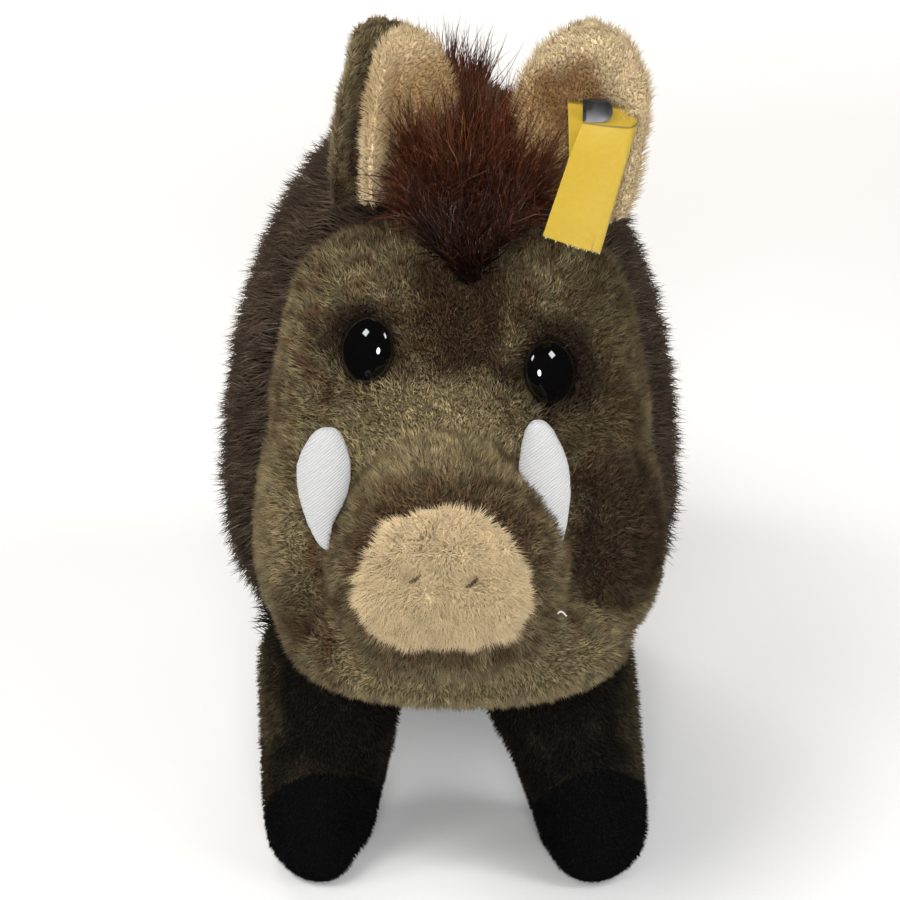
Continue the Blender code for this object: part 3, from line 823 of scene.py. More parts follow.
FACE_FOLDS = (              # (line of points, half its width, how deep it is drawn in)
    (((0.0265, -0.1080, 0.1200), (0.0276, -0.1100, 0.1103), (0.0283, -0.1120, 0.1037),
      (0.0300, -0.1130, 0.0960), (0.0350, -0.1145, 0.0912), (0.0410, -0.1110, 0.0872),
      (0.0465, -0.1020, 0.0850)), 0.0065, 0.0062),
    (((-0.0335, -0.1070, 0.1080), (-0.0310, -0.1100, 0.1020), (-0.0297, -0.1130, 0.0960),
      (-0.0287, -0.1170, 0.0926), (-0.0267, -0.1225, 0.0887),
      (-0.0225, -0.1260, 0.0850)), 0.0055, 0.0042),
    (((-0.0225, -0.1260, 0.0850), (-0.0155, -0.1283, 0.0812), (-0.0067, -0.1286, 0.0790),
      (0.0044, -0.1286, 0.0782), (0.0155, -0.1286, 0.0805), (0.0244, -0.1270, 0.0845),
      (0.0300, -0.1200, 0.0890)), 0.0050, 0.0024),
    (((0.0290, -0.1040, 0.1275), (0.0360, -0.1015, 0.1265), (0.0455, -0.0900, 0.1220),
      (0.0500, -0.0750, 0.1195)), 0.0065, 0.0042),
    (((-0.0260, -0.1010, 0.1340), (-0.0340, -0.0980, 0.1310), (-0.0410, -0.0900, 0.1265),
      (-0.0460, -0.0750, 0.1240)), 0.0065, 0.0030),
)
FACE_SWELLS = (             # (centre, radii, how far it stands out)
    (EYES["right"] + Vector((0.0040, -0.001, -0.0075)), (0.010, 0.012, 0.0065), 0.0022),
    (EYES["left"] + Vector((-0.0040, -0.001, -0.0075)), (0.010, 0.012, 0.0065), 0.0022),
    ((0.0400, -0.1000, 0.1060), (0.022, 0.030, 0.026), 0.0026),
    ((-0.0370, -0.1000, 0.1060), (0.020, 0.030, 0.028), 0.0022),
    ((-0.0020, -0.1080, 0.1340), (0.026, 0.022, 0.014), 0.0022),
)


def head_depth(places):
    """How deep the fabric lies: more under the hair, at the rear seam and in the folds."""
    depth = np.full(len(places), 0.74 * settings().pile.head)
    depth += 5.0 * MM * ramp(0.160, 0.176, places[:, 2])
    depth += 2.0 * MM * ramp(HEAD_REAR - 0.016, HEAD_REAR, places[:, 1])
    for eye in EYES.values():
        depth += 1.6 * MM * near(places, eye, (0.012, 0.014, 0.012))
    for line, half_width, deep in FACE_FOLDS:
        depth += deep * fold(places, line, half_width)
    for centre, radii, out in FACE_SWELLS:
        depth -= out * near(places, centre, radii)
    return depth


REAR_DRAWN = 0.11           # share by which the rear edge of the head narrows


def head_seams(places):
    """The seam round the back of the head, the eyes' shanks and the sewn edge of the snout."""
    held = [ramp(-0.064, -0.060, places[:, 1]), near(places, SNOUT, (0.030, 0.010, 0.030))]
    held += [2 * near(places, eye, (0.013, 0.016, 0.013)) for eye in EYES.values()]
    held += [1.5 * fold(places, line, half_width) for line, half_width, _ in FACE_FOLDS]
    return np.minimum(np.maximum.reduce(held), 1.0)


def make_head_skin():
    """The stuffed head with its muzzle and jaw, drawn in a little where it is sewn to the neck."""
    skin = fabric_skin("head_skin", HEAD_NODES, voxel=1.8 * MM, depth=head_depth, smoothing=4)
    places = places_of(skin.data)
    rear = ramp(HEAD_REAR - 0.024, HEAD_REAR, places[:, 1]) ** 2
    middle = np.array((0.0, 0.0, centre_of("head").z))
    off = (places - middle) * np.array((1.0, 0.0, 1.0))
    put_places(skin.data, places - REAR_DRAWN * rear[:, None] * off)
    stuff(skin, head_seams, 1.2 * MM)
    clothe(skin, "head_cloth", head_markings, "head_plush", *HEAD_NODES)


SNOUT_SQUARE = 2.5          # how square the disc's outline is, where 2 is an ellipse


def shape_snout(skin):
    """Make the disc's outline fuller at its corners and narrower towards its top."""
    places = places_of(skin.data)
    off = (places - np.array(SNOUT)) * np.array((1.0, 0.0, 1.0))
    share = np.abs(off / np.array(SNOUT_HALF))
    across = (share ** SNOUT_SQUARE).sum(1) ** (1 / SNOUT_SQUARE)
    square = np.linalg.norm(share, axis=1) / np.maximum(across, 1e-6)
    narrow = 1.05 - 0.30 * ramp(SNOUT.z - 0.010, SNOUT.z + 0.018, places[:, 2])
    ones = np.ones(len(off))
    grown = off * square[:, None] * np.stack([1.07 * narrow, ones, ones], 1)
    put_places(skin.data, places + grown - off)


def make_snout():
    """The flat disc, drawn in a little at the two stitches."""
    pile = settings().pile.snout
    stitches = [centre_of("nostril_stitch_" + side) for side in SIDES]

    def depth(places):
        deep = np.full(len(places), 0.62 * pile)
        for stitch in stitches:
            deep += 1.2 * MM * near(places, stitch, (0.004, 0.006, 0.003))
        return deep

    skin = fabric_skin("snout_skin", ("snout_disc",), voxel=1.1 * MM, depth=depth, smoothing=3)
    shape_snout(skin)
    clothe(skin, "snout_cloth", pale_markings, "pale_plush", "snout_disc", dark=0.85)

    roots = spread_roots(skin, per_mm2=evenly(11.0), seed=21)
    roots = some_of(roots, roots.normals[:, 1] < 0.35)
    flow = roots.places - np.array(SNOUT + Vector((0.0, 0.004, 0.002)))
    flow = flow + 0.008 * np.stack([ripple(roots.places, 9 * MM, seed) for seed in (24, 25, 26)], 1)
    tufts = lay_pile(
        roots, flow, pile, width=0.23 * MM, leans=(0.25, 0.95), seed=22, mess=0.6, wave=7 * MM,
        nods=0.3)
    tufts.length *= 1 + 0.18 * ripple(tufts.places, 5 * MM, 27)
    for stitch in stitches:
        tufts.length *= 1 - 0.45 * near(tufts.places, stitch, (0.0034, 0.008, 0.0022))
    clump(tufts, each=10, pull=0.30, seed=23)
    material = pile_material(
        "snout_pile", pale_markings, dark=0.88, tip_gain=1.0, vary=0.12, sheen=0.1)
    add_coat("snout_coat", tufts, SHORT_RINGS, material, "pale_plush")


EAR_FORMS = {               # how each leaf is widened at its foot and tip, moved, and its hollow filled
    "ear_back_left": ((0.90, 0.80), (0.0, 0.0014, -0.0014), 0.0),
    "ear_back_right": ((1.00, 1.00), (0.0, 0.0010, 0.0), 0.0),
    "ear_lining_left": ((1.40, 1.85), (-0.0004, -0.0012, 0.0), 0.45),
    "ear_lining_right": ((0.95, 1.08), (0.0027, -0.0010, 0.0), 0.60),
}


def shape_leaf(skin, wider, move, filled):
    """Widen and move a leaf, and bring the bottom of its trough forward by this share of its depth."""
    places = places_of(skin.data)
    middle = (places.max(0) + places.min(0)) / 2
    x, z = (places - middle)[:, 0], (places - middle)[:, 2]
    terms = np.stack([np.ones(len(x)), x, z, x * x, x * z, z * z], 1)
    bend = np.linalg.lstsq(terms, places[:, 1], rcond=None)[0][3]
    reach = np.abs(x).max()
    places[:, 1] += filled * bend * (reach * reach - x * x)
    blunt = 1 + 0.35 * ramp(0.6, 1.0, z / z.max())
    places[:, 0] = middle[0] + x * blunt * (wider[0] + (wider[1] - wider[0]) * ramp(-0.008, 0.018, z))
    put_places(skin.data, places + np.array(move))


def make_ears():
    """Each ear is a back and a lining, sewn edge to edge."""
    pile = settings().pile.ear
    kinds = {               # slot, markings, length, darkness of cloth and of roots, tips, variety
        "ear_back_": ("head_plush", head_markings, 1.0, CLOTH_DARK, 0.45, 1.05, 0.40),
        "ear_lining_": ("pale_plush", pale_markings, 1.25, 0.96, 0.94, 0.84, 0.10),
    }
    for kind, (slot, marks, longer, cloth_dark, pile_dark, gain, vary) in kinds.items():
        cloth = skin_material(kind + "cloth", marks, cloth_dark)
        hair = pile_material(kind + "pile", marks, pile_dark, gain, vary, sheen=0.1)
        for side in SIDES:
            node_name = kind + side
            skin = fabric_skin(
                node_name + "_skin", (node_name,), voxel=0.9 * MM, depth=evenly(0.36 * pile),
                smoothing=3)
            shape_leaf(skin, *EAR_FORMS[node_name])
            unwrap(skin)
            finish_piece(skin, cloth, slot, node_name)
            roots = spread_roots(skin, per_mm2=evenly(3.6), seed=31)
            middle = centre_of(node_name)
            flow = roots.places - np.array((middle.x, middle.y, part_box(node_name)[0].z - 0.010))
            tufts = lay_pile(
                roots, flow, longer * pile, width=0.32 * MM, leans=(0.65, 1.25), seed=32, mess=0.4,
                swirl=0.5)
            clump(tufts, each=8, pull=0.25, seed=33)
            add_coat(node_name + "_coat", tufts, SHORT_RINGS, hair, slot)


def make_tail_cord():
    """The tail, as plush as the legs."""
    skin = fabric_skin(
        "tail_skin", ("tail",), voxel=0.9 * MM, depth=evenly(1.7 * MM), smoothing=2)
    clothe(skin, "tail_cloth", body_markings, "body_plush", "tail")
    roots = spread_roots(skin, per_mm2=evenly(3.0), seed=41)
    flow = np.array((0.0, 0.2, -1.0))
    length = 0.9 * settings().pile.leg
    tufts = lay_pile(roots, flow, length, width=0.45 * MM, leans=(0.6, 1.2), seed=42)
    material = pile_material("tail_pile", body_markings, dark=0.3, tip_gain=1.2)
    add_coat("tail_coat", tufts, SHORT_RINGS, material, "body_plush")


# Pieces: long hair.

def mane_markings():
    """Red brown hair, with painted shade that makes it nearly black where it parts over the brow."""
    mane = tuple(settings().colour.mane)
    spots = (
        # Painted shade at the heart, where the hair parts.
        ((0.003, -0.088, 0.168), (0.013, 0.024, 0.013), times(mane, 0.20), 0.90),
        ((0.000, 0.010, 0.190), (0.060, 0.066, 0.050), times(mane, 0.50), 0.85),
    )
    return markings("mane_markings", mane, spots, 6 * MM, times(mane, 0.55))


def hair_material():
    """Glossy hair, the same on forelock, crest and tail."""
    # A few strands have pale tips, which are painted glints.
    return bpy.data.materials.get("long_hair") or pile_material(
        "long_hair", mane_markings, dark=0.20, tip_gain=1.35, vary=0.60,
        frost=(0.42, 0.20, 0.11), frost_and_glint_share=0.07, roughness=0.30, gloss=0.35)


def strands(roots, sprout, tip, length, seed, mess=0.16):
    """Turn roots into long strands, each a little out of line."""
    rng = np.random.default_rng(seed)
    count = len(roots.places)
    curls = np.stack([ripple(roots.places, 8 * MM, seed + axis) for axis in (7, 8, 9)], 1)
    roots.sprout = unit(sprout + mess * (rng.normal(size=(count, 3)) + 0.8 * curls))
    roots.tip = unit(tip + 1.6 * mess * (rng.normal(size=(count, 3)) + 0.8 * curls))
    roots.length = length * rng.uniform(0.45, 1.12, count)
    roots.width = settings().hair.strand * rng.uniform(0.7, 1.3, count)
    roots.tint = rng.random(count)
    return roots


def make_tail_tuft():
    """A tuft of long hair at the end of the tail."""
    core = fabric_skin(
        "tail_tuft_core", ("tail_tuft",), voxel=0.9 * MM, depth=evenly(3.2 * MM), smoothing=2)
    clothe(core, "tuft_cloth", mane_markings, "mane_hair", "tail_tuft", dark=0.3)
    roots = spread_roots(core, per_mm2=evenly(2.4), seed=43)
    top = centre_of("tail_tuft") + Vector((0.0, 0.0, half_of("tail_tuft").z))
    away = unit(roots.places - np.array(top))
    sprout = unit(roots.normals * 0.6 + away)
    tip = unit(away + np.array((0.0, 0.0, -0.8)))
    tufts = strands(roots, sprout, tip, settings().hair.tail * 0.8, seed=44)
    add_coat("tail_tuft_hair", tufts, HAIR_RINGS, hair_material(), "mane_hair")


def make_forelock():
    """Hair that fans up from a point on the brow, open at its heart, where painted shade makes it dark.
    """
    core = fabric_skin(
        "forelock_core", ("forelock",), voxel=1.6 * MM, depth=evenly(6.0 * MM), smoothing=3)
    places = places_of(core.data)
    places[:, 2] = BROW_POINT.z + (places[:, 2] - BROW_POINT.z) * 0.52
    slim = 0.45 + 0.55 * ramp(BROW_POINT.z, BROW_POINT.z + 0.016, places[:, 2])
    places[:, 0] = BROW_POINT.x + (places[:, 0] - BROW_POINT.x) * slim
    put_places(core.data, places)
    clothe(core, "mane_cloth", mane_markings, "mane_hair", "forelock", dark=0.25)

    def per_mm2(places):
        heart = near(places, (0.004, -0.088, 0.170), (0.010, 0.030, 0.012))
        reach = np.clip(0.005 + 0.9 * (places[:, 2] - BROW_POINT.z), 0.005, 0.019)
        side = ramp(1.15, 0.75, np.abs(places[:, 0] - BROW_POINT.x) / reach)
        return 3.0 * side * (1 - 0.75 * heart)

    roots = spread_roots(core, per_mm2, seed=51)
    fan = roots.places - np.array(BROW_POINT + Vector((0.0, 0.004, -0.004)))
    fan = unit(unit(fan * np.array((0.85, 0.25, 1.0))) + np.array((0.0, 0.0, 0.30)))
    rise = ramp(0.162, 0.182, roots.places[:, 2])
    sprout = unit(0.55 * roots.normals + fan)
    tip = unit(fan + np.array((0.0, 0.0, 0.85)) + 0.12 * roots.normals)
    length = settings().hair.forelock * (0.52 + 0.48 * rise)
    tufts = strands(roots, sprout, tip, length, seed=52, mess=0.42)
    clump(tufts, each=9, pull=0.60, seed=53)
    add_coat("forelock_hair", tufts, HAIR_RINGS, hair_material(), "mane_hair")


def make_crest():
    """A ridge of long hair from the neck to the loin."""
    skin = bpy.data.objects["body_skin"]
    low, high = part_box("mane_crest")

    def per_mm2(places):
        side = ramp(0.0085, 0.0050, np.abs(places[:, 0]))
        ends = ramp(low.y - 0.004, low.y + 0.004, places[:, 1])
        ends = ends * ramp(high.y, high.y - 0.02, places[:, 1])
        thin = 0.16 + 0.84 * ramp(0.015, 0.060, places[:, 1])
        return 3.6 * side * ends * thin * (places[:, 2] > 0.12)

    roots = spread_roots(skin, per_mm2, seed=61)
    share = (roots.places[:, 1] - low.y) / (high.y - low.y)
    spray = np.array((1.0, 0.0, 0.0)) * roots.places[:, :1] * 60
    sprout = unit(np.array((0.0, 0.10, 1.0)) + spray)
    tip = unit(np.array((0.0, 0.60, 0.80)) + 0.8 * spray)
    wisps = ramp(0.2, 1.2, ripple(roots.places, 5 * MM, 64))
    length = settings().hair.crest * (0.92 - 0.35 * share) * (0.62 + 1.10 * wisps)
    tufts = strands(roots, sprout, tip, length, seed=62, mess=0.16)
    clump(tufts, each=14, pull=0.85, seed=63)
    add_coat("crest_hair", tufts, HAIR_RINGS, hair_material(), "mane_hair", "mane_crest")


# Pieces: the coat of body and head.

STRAY_SHARE = 0.06          # share of the trunk's tufts that stand up as thin stray hairs
LEG_PER_MM2 = 2.1           # tufts on each square millimetre of the legs and feet


def grow_trunk_pile(skin):
    """Long pile with a few stray hairs, which lies back and down."""
    def shown(places):
        """Nothing grows where the head is sewn on."""
        middle = np.hypot(places[:, 0] / 0.040, (places[:, 2] - 0.120) / 0.046)
        return (places[:, 1] > HEAD_REAR - 0.009) | (middle > 1.0)

    def per_mm2(places):
        return 0.62 * (leg_share(places) < 0.5) * shown(places)

    roots = spread_roots(skin, per_mm2, seed=71)
    chance = np.random.default_rng(72).random(len(roots.places))
    roots = some_of(roots, chance >= leg_share(roots.places))
    flow = np.array((0.0, 0.85, -0.65))
    tufts = lay_pile(
        roots, flow, settings().pile.trunk, width=0.58 * MM, leans=(0.45, 1.22), seed=73, swirl=0.45)
    stray = np.random.default_rng(74).random(len(tufts.places)) < STRAY_SHARE
    tufts.tip[stray] = unit(tufts.tip[stray] + 0.9 * tufts.normals[stray])
    tufts.width[stray] *= 0.5
    clump(tufts, each=9, pull=0.34, seed=75)
    material = pile_material(
        "body_pile", body_markings, dark=0.30, tip_gain=1.25,
        frost=tuple(settings().colour.frost), frost_and_glint_share=0.10, roughness=0.5, gloss=0.25)
    add_coat("body_coat", tufts, LONG_RINGS, material, "body_plush")


def grow_leg_pile(skin):
    """Short pile that lies down the legs."""
    def per_mm2(places):
        return LEG_PER_MM2 * (leg_share(places) > 0.3) * (foot_share(places) < 0.5)

    roots = spread_roots(skin, per_mm2, seed=76)
    flow = np.array((0.0, 0.0, -1.0))
    tufts = lay_pile(
        roots, flow, settings().pile.leg, width=0.40 * MM, leans=(0.35, 0.90), seed=77, mess=0.5,
        swirl=0.6)
    clump(tufts, each=8, pull=0.35, seed=78)
    material = pile_material("leg_pile", body_markings, dark=0.30, tip_gain=1.2)
    add_coat("leg_coat", tufts, SHORT_RINGS, material, "body_plush")


def grow_foot_pile(skin):
    """The shortest pile, with none on the soles."""
    roots = spread_roots(skin, lambda places: LEG_PER_MM2 * (foot_share(places) >= 0.5), seed=79)
    roots = some_of(roots, roots.normals[:, 2] > -0.9)
    flow = np.array((0.0, -0.2, -1.0))
    tufts = lay_pile(
        roots, flow, settings().pile.foot, width=0.40 * MM, leans=(0.35, 0.85), seed=80, mess=0.5)
    tufts.length *= 1 - 0.6 * ramp(0.4, 0.8, -tufts.normals[:, 2])
    clump(tufts, each=8, pull=0.30, seed=81)
    material = pile_material("foot_pile", body_markings, dark=0.5, tip_gain=1.2, gloss=0.1)
    add_coat("foot_coat", tufts, SHORT_RINGS, material, "foot_plush")


def make_head_coat():
    """Short dense pile that runs from the snout outwards, up over the brow and down over the jaw."""
    skin = bpy.data.objects["head_skin"]
    pile = settings().pile.head

    def per_mm2(places):
        shown = places[:, 1] < HEAD_REAR - 0.004
        for eye in EYES.values():
            off = places - np.array(eye) - np.array((0.0, 0.0, 0.0010))
            away = np.linalg.norm(off[:, [0, 2]], axis=1)
            shown = shown & ((away > 0.80 * EYE_RADIUS) | (places[:, 1] > eye.y + 0.02))
        front = near(places, SNOUT, (SNOUT_HALF.x * 0.8, 0.014, SNOUT_HALF.z * 0.8)) > 0.15
        hidden = np.maximum(ramp(-0.090, -0.068, places[:, 1]), ramp(0.158, 0.170, places[:, 2]))
        return (4.2 - 2.2 * hidden) * (shown & ~front)

    roots = spread_roots(skin, per_mm2, seed=91)
    nose = np.array(SNOUT) + np.array((0.0, -0.010, 0.0))
    flow = unit(roots.places - nose) + np.array((0.0, 0.0, 0.10))
    tufts = lay_pile(
        roots, flow, pile, width=0.31 * MM, leans=(0.30, 0.85), seed=92, mess=0.5, swirl=0.6,
        wave=8 * MM, nods=0.30)
    tufts.length *= 1 + 0.9 * ramp(HEAD_REAR - 0.018, HEAD_REAR - 0.004, tufts.places[:, 1])
    for eye in EYES.values():
        below = eye - Vector((0.0, 0.0, 0.006))
        tufts.length *= 1 + 0.95 * near(tufts.places, below, (0.012, 0.016, 0.007))
    clump(tufts, each=9, pull=0.50, seed=93)
    # A few tufts have pale tips, which are painted glints.
    material = pile_material(
        "head_pile", head_markings, dark=0.34, tip_gain=1.08, vary=0.42,
        frost=(0.42, 0.37, 0.27), frost_and_glint_share=0.05, roughness=0.55, gloss=0.25)
    add_coat("head_coat", tufts, SHORT_RINGS, material, "head_plush")


# Pieces: eyes, tusks, stitches.

EYE_SHIFT = Vector((0.0, 0.0030, -0.0006))      # from the middle of its solid
EYE_SHAPE = (1.06, 1.19, 0.66)      # of a dome that faces up: across, high and deep
EYE_TURNS = {"left": 39, "right": -39}      # degrees outwards
EYE_PITCH = 17                      # degrees upwards
EYE_BASE = 1.2 * MM                 # from the middle of the sphere down to the flat of the dome
SHANK_INSET = 3.5 * MM
SHANK_LENGTH = 3.6 * MM


def make_eyes():
    """Domed safety eyes, each turned outwards and up, on a short shank."""
    plastic, _, _ = new_material(
        "black_plastic", Base_Color=(0.0016, 0.0014, 0.0014, 1.0), Roughness=0.04, IOR=1.5,
        Coat_Weight=0.6, Coat_Roughness=0.02)
    for side, turn in EYE_TURNS.items():
        eye = start_from(
            "uv_sphere", f"eye_{side}_dome", segments=48, ring_count=32, radius=EYE_RADIUS)
        with editing(eye):
            bpy.ops.transform.resize(value=EYE_SHAPE)
            bpy.ops.mesh.bisect(
                plane_co=(0.0, 0.0, -EYE_BASE), plane_no=(0.0, 0.0, 1.0), use_fill=True,
                clear_inner=True)
            bpy.ops.mesh.inset(thickness=SHANK_INSET)
            bpy.ops.mesh.extrude_region_move(
                TRANSFORM_OT_translate={"value": (0.0, 0.0, -SHANK_LENGTH)})
        face_forward = Matrix.Rotation(math.radians(90 - EYE_PITCH), 4, "X")
        outwards = Matrix.Rotation(math.radians(turn), 4, "Z")
        eye.data.transform(Matrix.Translation(EYES[side] + EYE_SHIFT) @ outwards @ face_forward)
        smooth_to(eye, 50)
        finish_piece(eye, plastic, "eye_plastic", "eye_" + side)


RIB_SLANT = -52             # degrees that the ribs turn about Y
TUSK_FORMS = {              # how much fuller, taller and more leaning than its solid, and its move
    "left": (1.10, 1.46, 0.52, (-0.0002, -0.0050, -0.0032)),
    "right": (1.18, 1.0, 0.36, (0.0007, -0.0026, 0.0013)),
}


def ribbed_material():
    """White cloth with fine ribs on a slant."""
    made, tree, shader = new_material(
        "ribbed_cloth", Roughness=0.85, Specular_IOR_Level=0.2, Sheen_Weight=0.25)
    place = object_place(tree)
    turn = (0.0, math.radians(RIB_SLANT), 0.0)
    slant = node(tree, "Mapping", {"Vector": place, "Rotation": turn}).outputs[0]
    wave = {"Vector": slant, "Scale": 560.0, "Distortion": 0.5, "Detail": 1.0}
    ribs = node(tree, "TexWave", wave, bands_direction="X").outputs["Fac"]
    fuzz = noise(tree, place, 2600.0, detail=3.0)
    height = number(tree, "ADD", ribs, number(tree, "MULTIPLY", fuzz, 0.7))
    roughen(tree, shader, height, 0.7, 0.22 * MM)
    white = tuple(settings().colour.tusk)
    colour = mixed(tree, remap(tree, ribs, 0.0, 0.5), times(white, 0.86), white)
    tree.links.new(colour, shader.inputs["Base Color"])
    return made


def shape_tusk(tusk, fuller, taller, lean, move):
    """Draw in the sewn edge of a tusk, and change its form about the curve of its middle."""
    places, normals = places_of(tusk.data), normals_of(tusk.data)
    rim = ramp(0.35, 0.05, np.abs(normals[:, 1]))
    places -= normals * (0.25 * MM * rim)[:, None]
    height = places[:, 2] - (places[:, 2].max() + places[:, 2].min()) / 2
    terms = np.stack([np.ones(len(height)), height, height ** 2], 1)
    spine = np.linalg.lstsq(terms, places[:, 0], rcond=None)[0]
    off = places[:, 0] - terms @ spine
    pointed = 1 - 0.22 * ramp(0.35, 1.0, height / height.max())
    places[:, 0] = terms @ (spine * np.array((1.0, lean, 1.0))) + fuller * pointed * off
    places[:, 2] += (taller - 1) * height
    put_places(tusk.data, places + np.array(move))


def make_tusks():
    """Flat crescents of ribbed white cloth, with a seam round their edge."""
    cloth = ribbed_material()
    for side in SIDES:
        name = "tusk_" + side
        tusk = fabric_skin(
            name + "_cushion", (name,), voxel=0.7 * MM, depth=evenly(-0.2 * MM), smoothing=3)
        shape_tusk(tusk, *TUSK_FORMS[side])
        apply_modifier(tusk, "SUBSURF", levels=1, render_levels=1)
        only(tusk)
        bpy.ops.object.shade_smooth()
        finish_piece(tusk, cloth, "tusk_cloth", name)


def plied_thread(name, points, radius, turns):
    """A thread of two plies twisted together along a path."""
    points = [Vector(point) for point in points]
    sides, corners, triangles = 8, [], []
    for ply in range(2):
        first = len(corners)
        for index, point in enumerate(points):
            before, after = points[max(index - 1, 0)], points[min(index + 1, len(points) - 1)]
            forward = (after - before).normalized()
            across = forward.cross(Vector((0.0, 1.0, 0.0))).normalized()
            over = forward.cross(across)
            share = index / (len(points) - 1)
            turn = math.pi * ply + 2 * math.pi * turns * share
            middle = point + (across * math.cos(turn) + over * math.sin(turn)) * radius / 2
            thin = radius / 2 * (1.05 if 0 < share < 1 else 0.6)
            for side in range(sides):
                angle = 2 * math.pi * side / sides
                corners.append(middle + (across * math.cos(angle) + over * math.sin(angle)) * thin)
        for ring in range(len(points) - 1):
            for side in range(sides):
                a = first + ring * sides + side
                b = first + ring * sides + (side + 1) % sides
                triangles += [(a, b, b + sides), (a, b + sides, a + sides)]
        last = first + (len(points) - 1) * sides
        for side in range(1, sides - 1):
            triangles += [(first, first + side + 1, first + side), (last, last + side, last + side + 1)]
    thing = new_object(name, mesh_of(name, np.array(corners), np.array(triangles)))
    with editing(thing):
        bpy.ops.mesh.normals_make_consistent(inside=False)
    return thing


def thread_material(name, colour):
    """Twisted cotton, darker between its fibres."""
    made, tree, shader = new_material(name, Roughness=0.7, Specular_IOR_Level=0.2)
    fibres = noise(tree, object_place(tree), 5200.0, detail=2.0)
    shaded = mixed(tree, remap(tree, fibres, 0.3, 0.7), times(colour, 0.6), times(colour, 1.3))
    tree.links.new(shaded, shader.inputs["Base Color"])
    roughen(tree, shader, fibres, 0.5, 0.05 * MM)
    return made


MOUTH_CORNER = Vector((0.0235, -0.1325, 0.0990))


def make_stitches():
    """The two stitches that mark the nostrils, and the thread end at the corner of the mouth."""
    dark = thread_material("nostril_thread", (0.055, 0.034, 0.020))
    for side in SIDES:
        node_name = "nostril_stitch_" + side
        middle = centre_of(node_name) + Vector((0.0, 0.0016, 0.0))
        path = []
        for step in range(9):
            share = step / 4 - 1
            path.append(middle + Vector((1.17 * share, 1.4 * share ** 2, 0.93 * share)) * MM)
        thread = plied_thread(node_name + "_thread", path, 0.46 * MM, 2.0)
        finish_piece(thread, dark, "thread", node_name)

    white = thread_material("loose_thread", (0.52, 0.51, 0.48))
    path = []
    for step in range(9):
        wave = Vector((0.26 * step, 0.10 * step, 0.6 * math.sin(0.5 * step) - 0.05 * step))
        path.append(MOUTH_CORNER + wave * MM)
    thread = plied_thread("mouth_thread", path, 0.27 * MM, 2.5)
    finish_piece(thread, white, "thread")


# Pieces: the tag.

TAG_TOP = Vector((0.0350, -0.0710, 0.1950))
TAG_FOOT = Vector((0.0256, -0.0945, 0.1730))
TAG_WIDTH = 15.0 * MM               # of the front leaf with its bend
TAG_BEND = 2.2 * MM                 # radius of the fold
TAG_BACK_SHARE = 1.30               # length of the back leaf against the front one
TAG_OPENING = (2.0, 1.0, 0.45)      # how far the leaves stand apart: top, a third down, foot
TAG_TILT = (-0.11, -0.34)           # rise for each metre across, at the top and at the foot
TAG_SHIFT = 0.3 * MM                # towards the boar's left
TAG_CLOTH = 0.35 * MM               # thickness of the ribbon
RIBBON_MAP = "ribbon"
FRAYS = 90                          # loose threads along the cut end


def ribbon_length():
    """Length of the ribbon round its fold, from the edge of the front leaf to that of the back one."""
    return (TAG_WIDTH - 2 * TAG_BEND) * (1 + TAG_BACK_SHARE) + math.pi * TAG_BEND


def ribbon_place(way, drop):
    """A point of the ribbon, from how far it is round the fold and how far down, both from 0 to 1."""
    half = TAG_WIDTH / 2 - TAG_BEND
    front, bend = 2 * half, math.pi * TAG_BEND
    at = way * ribbon_length()
    opening = TAG_OPENING[1] + (TAG_OPENING[0] - TAG_OPENING[1]) * max(0.0, 1 - 3 * drop) ** 2
    opening += (TAG_OPENING[2] - TAG_OPENING[1]) * drop
    if at < front:
        across, depth = at - half, -TAG_BEND
        depth -= 0.9 * MM * math.sin(math.pi * at / front) * (0.4 + 0.6 * drop)
    elif at < front + bend:
        angle = (at - front) / TAG_BEND
        across, depth = half + TAG_BEND * math.sin(angle), -TAG_BEND * math.cos(angle)
    else:
        slant = 1 - (1 - 0.94 / TAG_BACK_SHARE) * min(1.0, 2.5 * drop)
        across, depth = half - (at - front - bend) * slant, TAG_BEND
    curl = -0.8 * MM * max(0.0, drop - 0.8) / 0.2 if at < front else 0.0
    raised = 2.4 * MM * (1 - drop) * min(1.0, max(0.0, at - front) / bend)
    tilt = TAG_TILT[0] + (TAG_TILT[1] - TAG_TILT[0]) * drop
    down = (TAG_FOOT - TAG_TOP) * drop
    return TAG_TOP + down + Vector((across + TAG_SHIFT, depth * opening + curl, across * tilt + raised))


def ribbon_material():
    """Yellow ribbon, darker between its threads, with painted shade along its top edge."""
    made, tree, shader = new_material(
        "woven_ribbon", Roughness=0.42, Specular_IOR_Level=0.4, Sheen_Weight=0.15, Anisotropic=0.3)
    laid = node(tree, "UVMap", uv_map=RIBBON_MAP).outputs[0]
    axes = node(tree, "SeparateXYZ", {"Vector": laid})
    warp = node(tree, "TexWave", {"Vector": laid, "Scale": 34.0}, bands_direction="X").outputs["Fac"]
    weft = node(tree, "TexWave", {"Vector": laid, "Scale": 46.0}, bands_direction="Y").outputs["Fac"]
    weave = number(tree, "MULTIPLY", warp, weft)
    slub = noise(tree, laid, 24.0, detail=4.0)
    yellow = tuple(settings().colour.ribbon)
    colour = mixed(tree, remap(tree, slub, 0.25, 0.75), times(yellow, 0.96), times(yellow, 1.05))
    colour = mixed(tree, remap(tree, weave, 0.0, 0.4, 0.35, 0.0), colour, times(yellow, 0.62))
    # Painted shade along the top edge.
    top = remap(tree, axes.outputs["Y"], 0.975, 0.99)
    colour = mixed(tree, top, colour, times(yellow, 0.35))
    tree.links.new(colour, shader.inputs["Base Color"])
    roughen(tree, shader, weave, 0.35, 0.08 * MM)
    return made


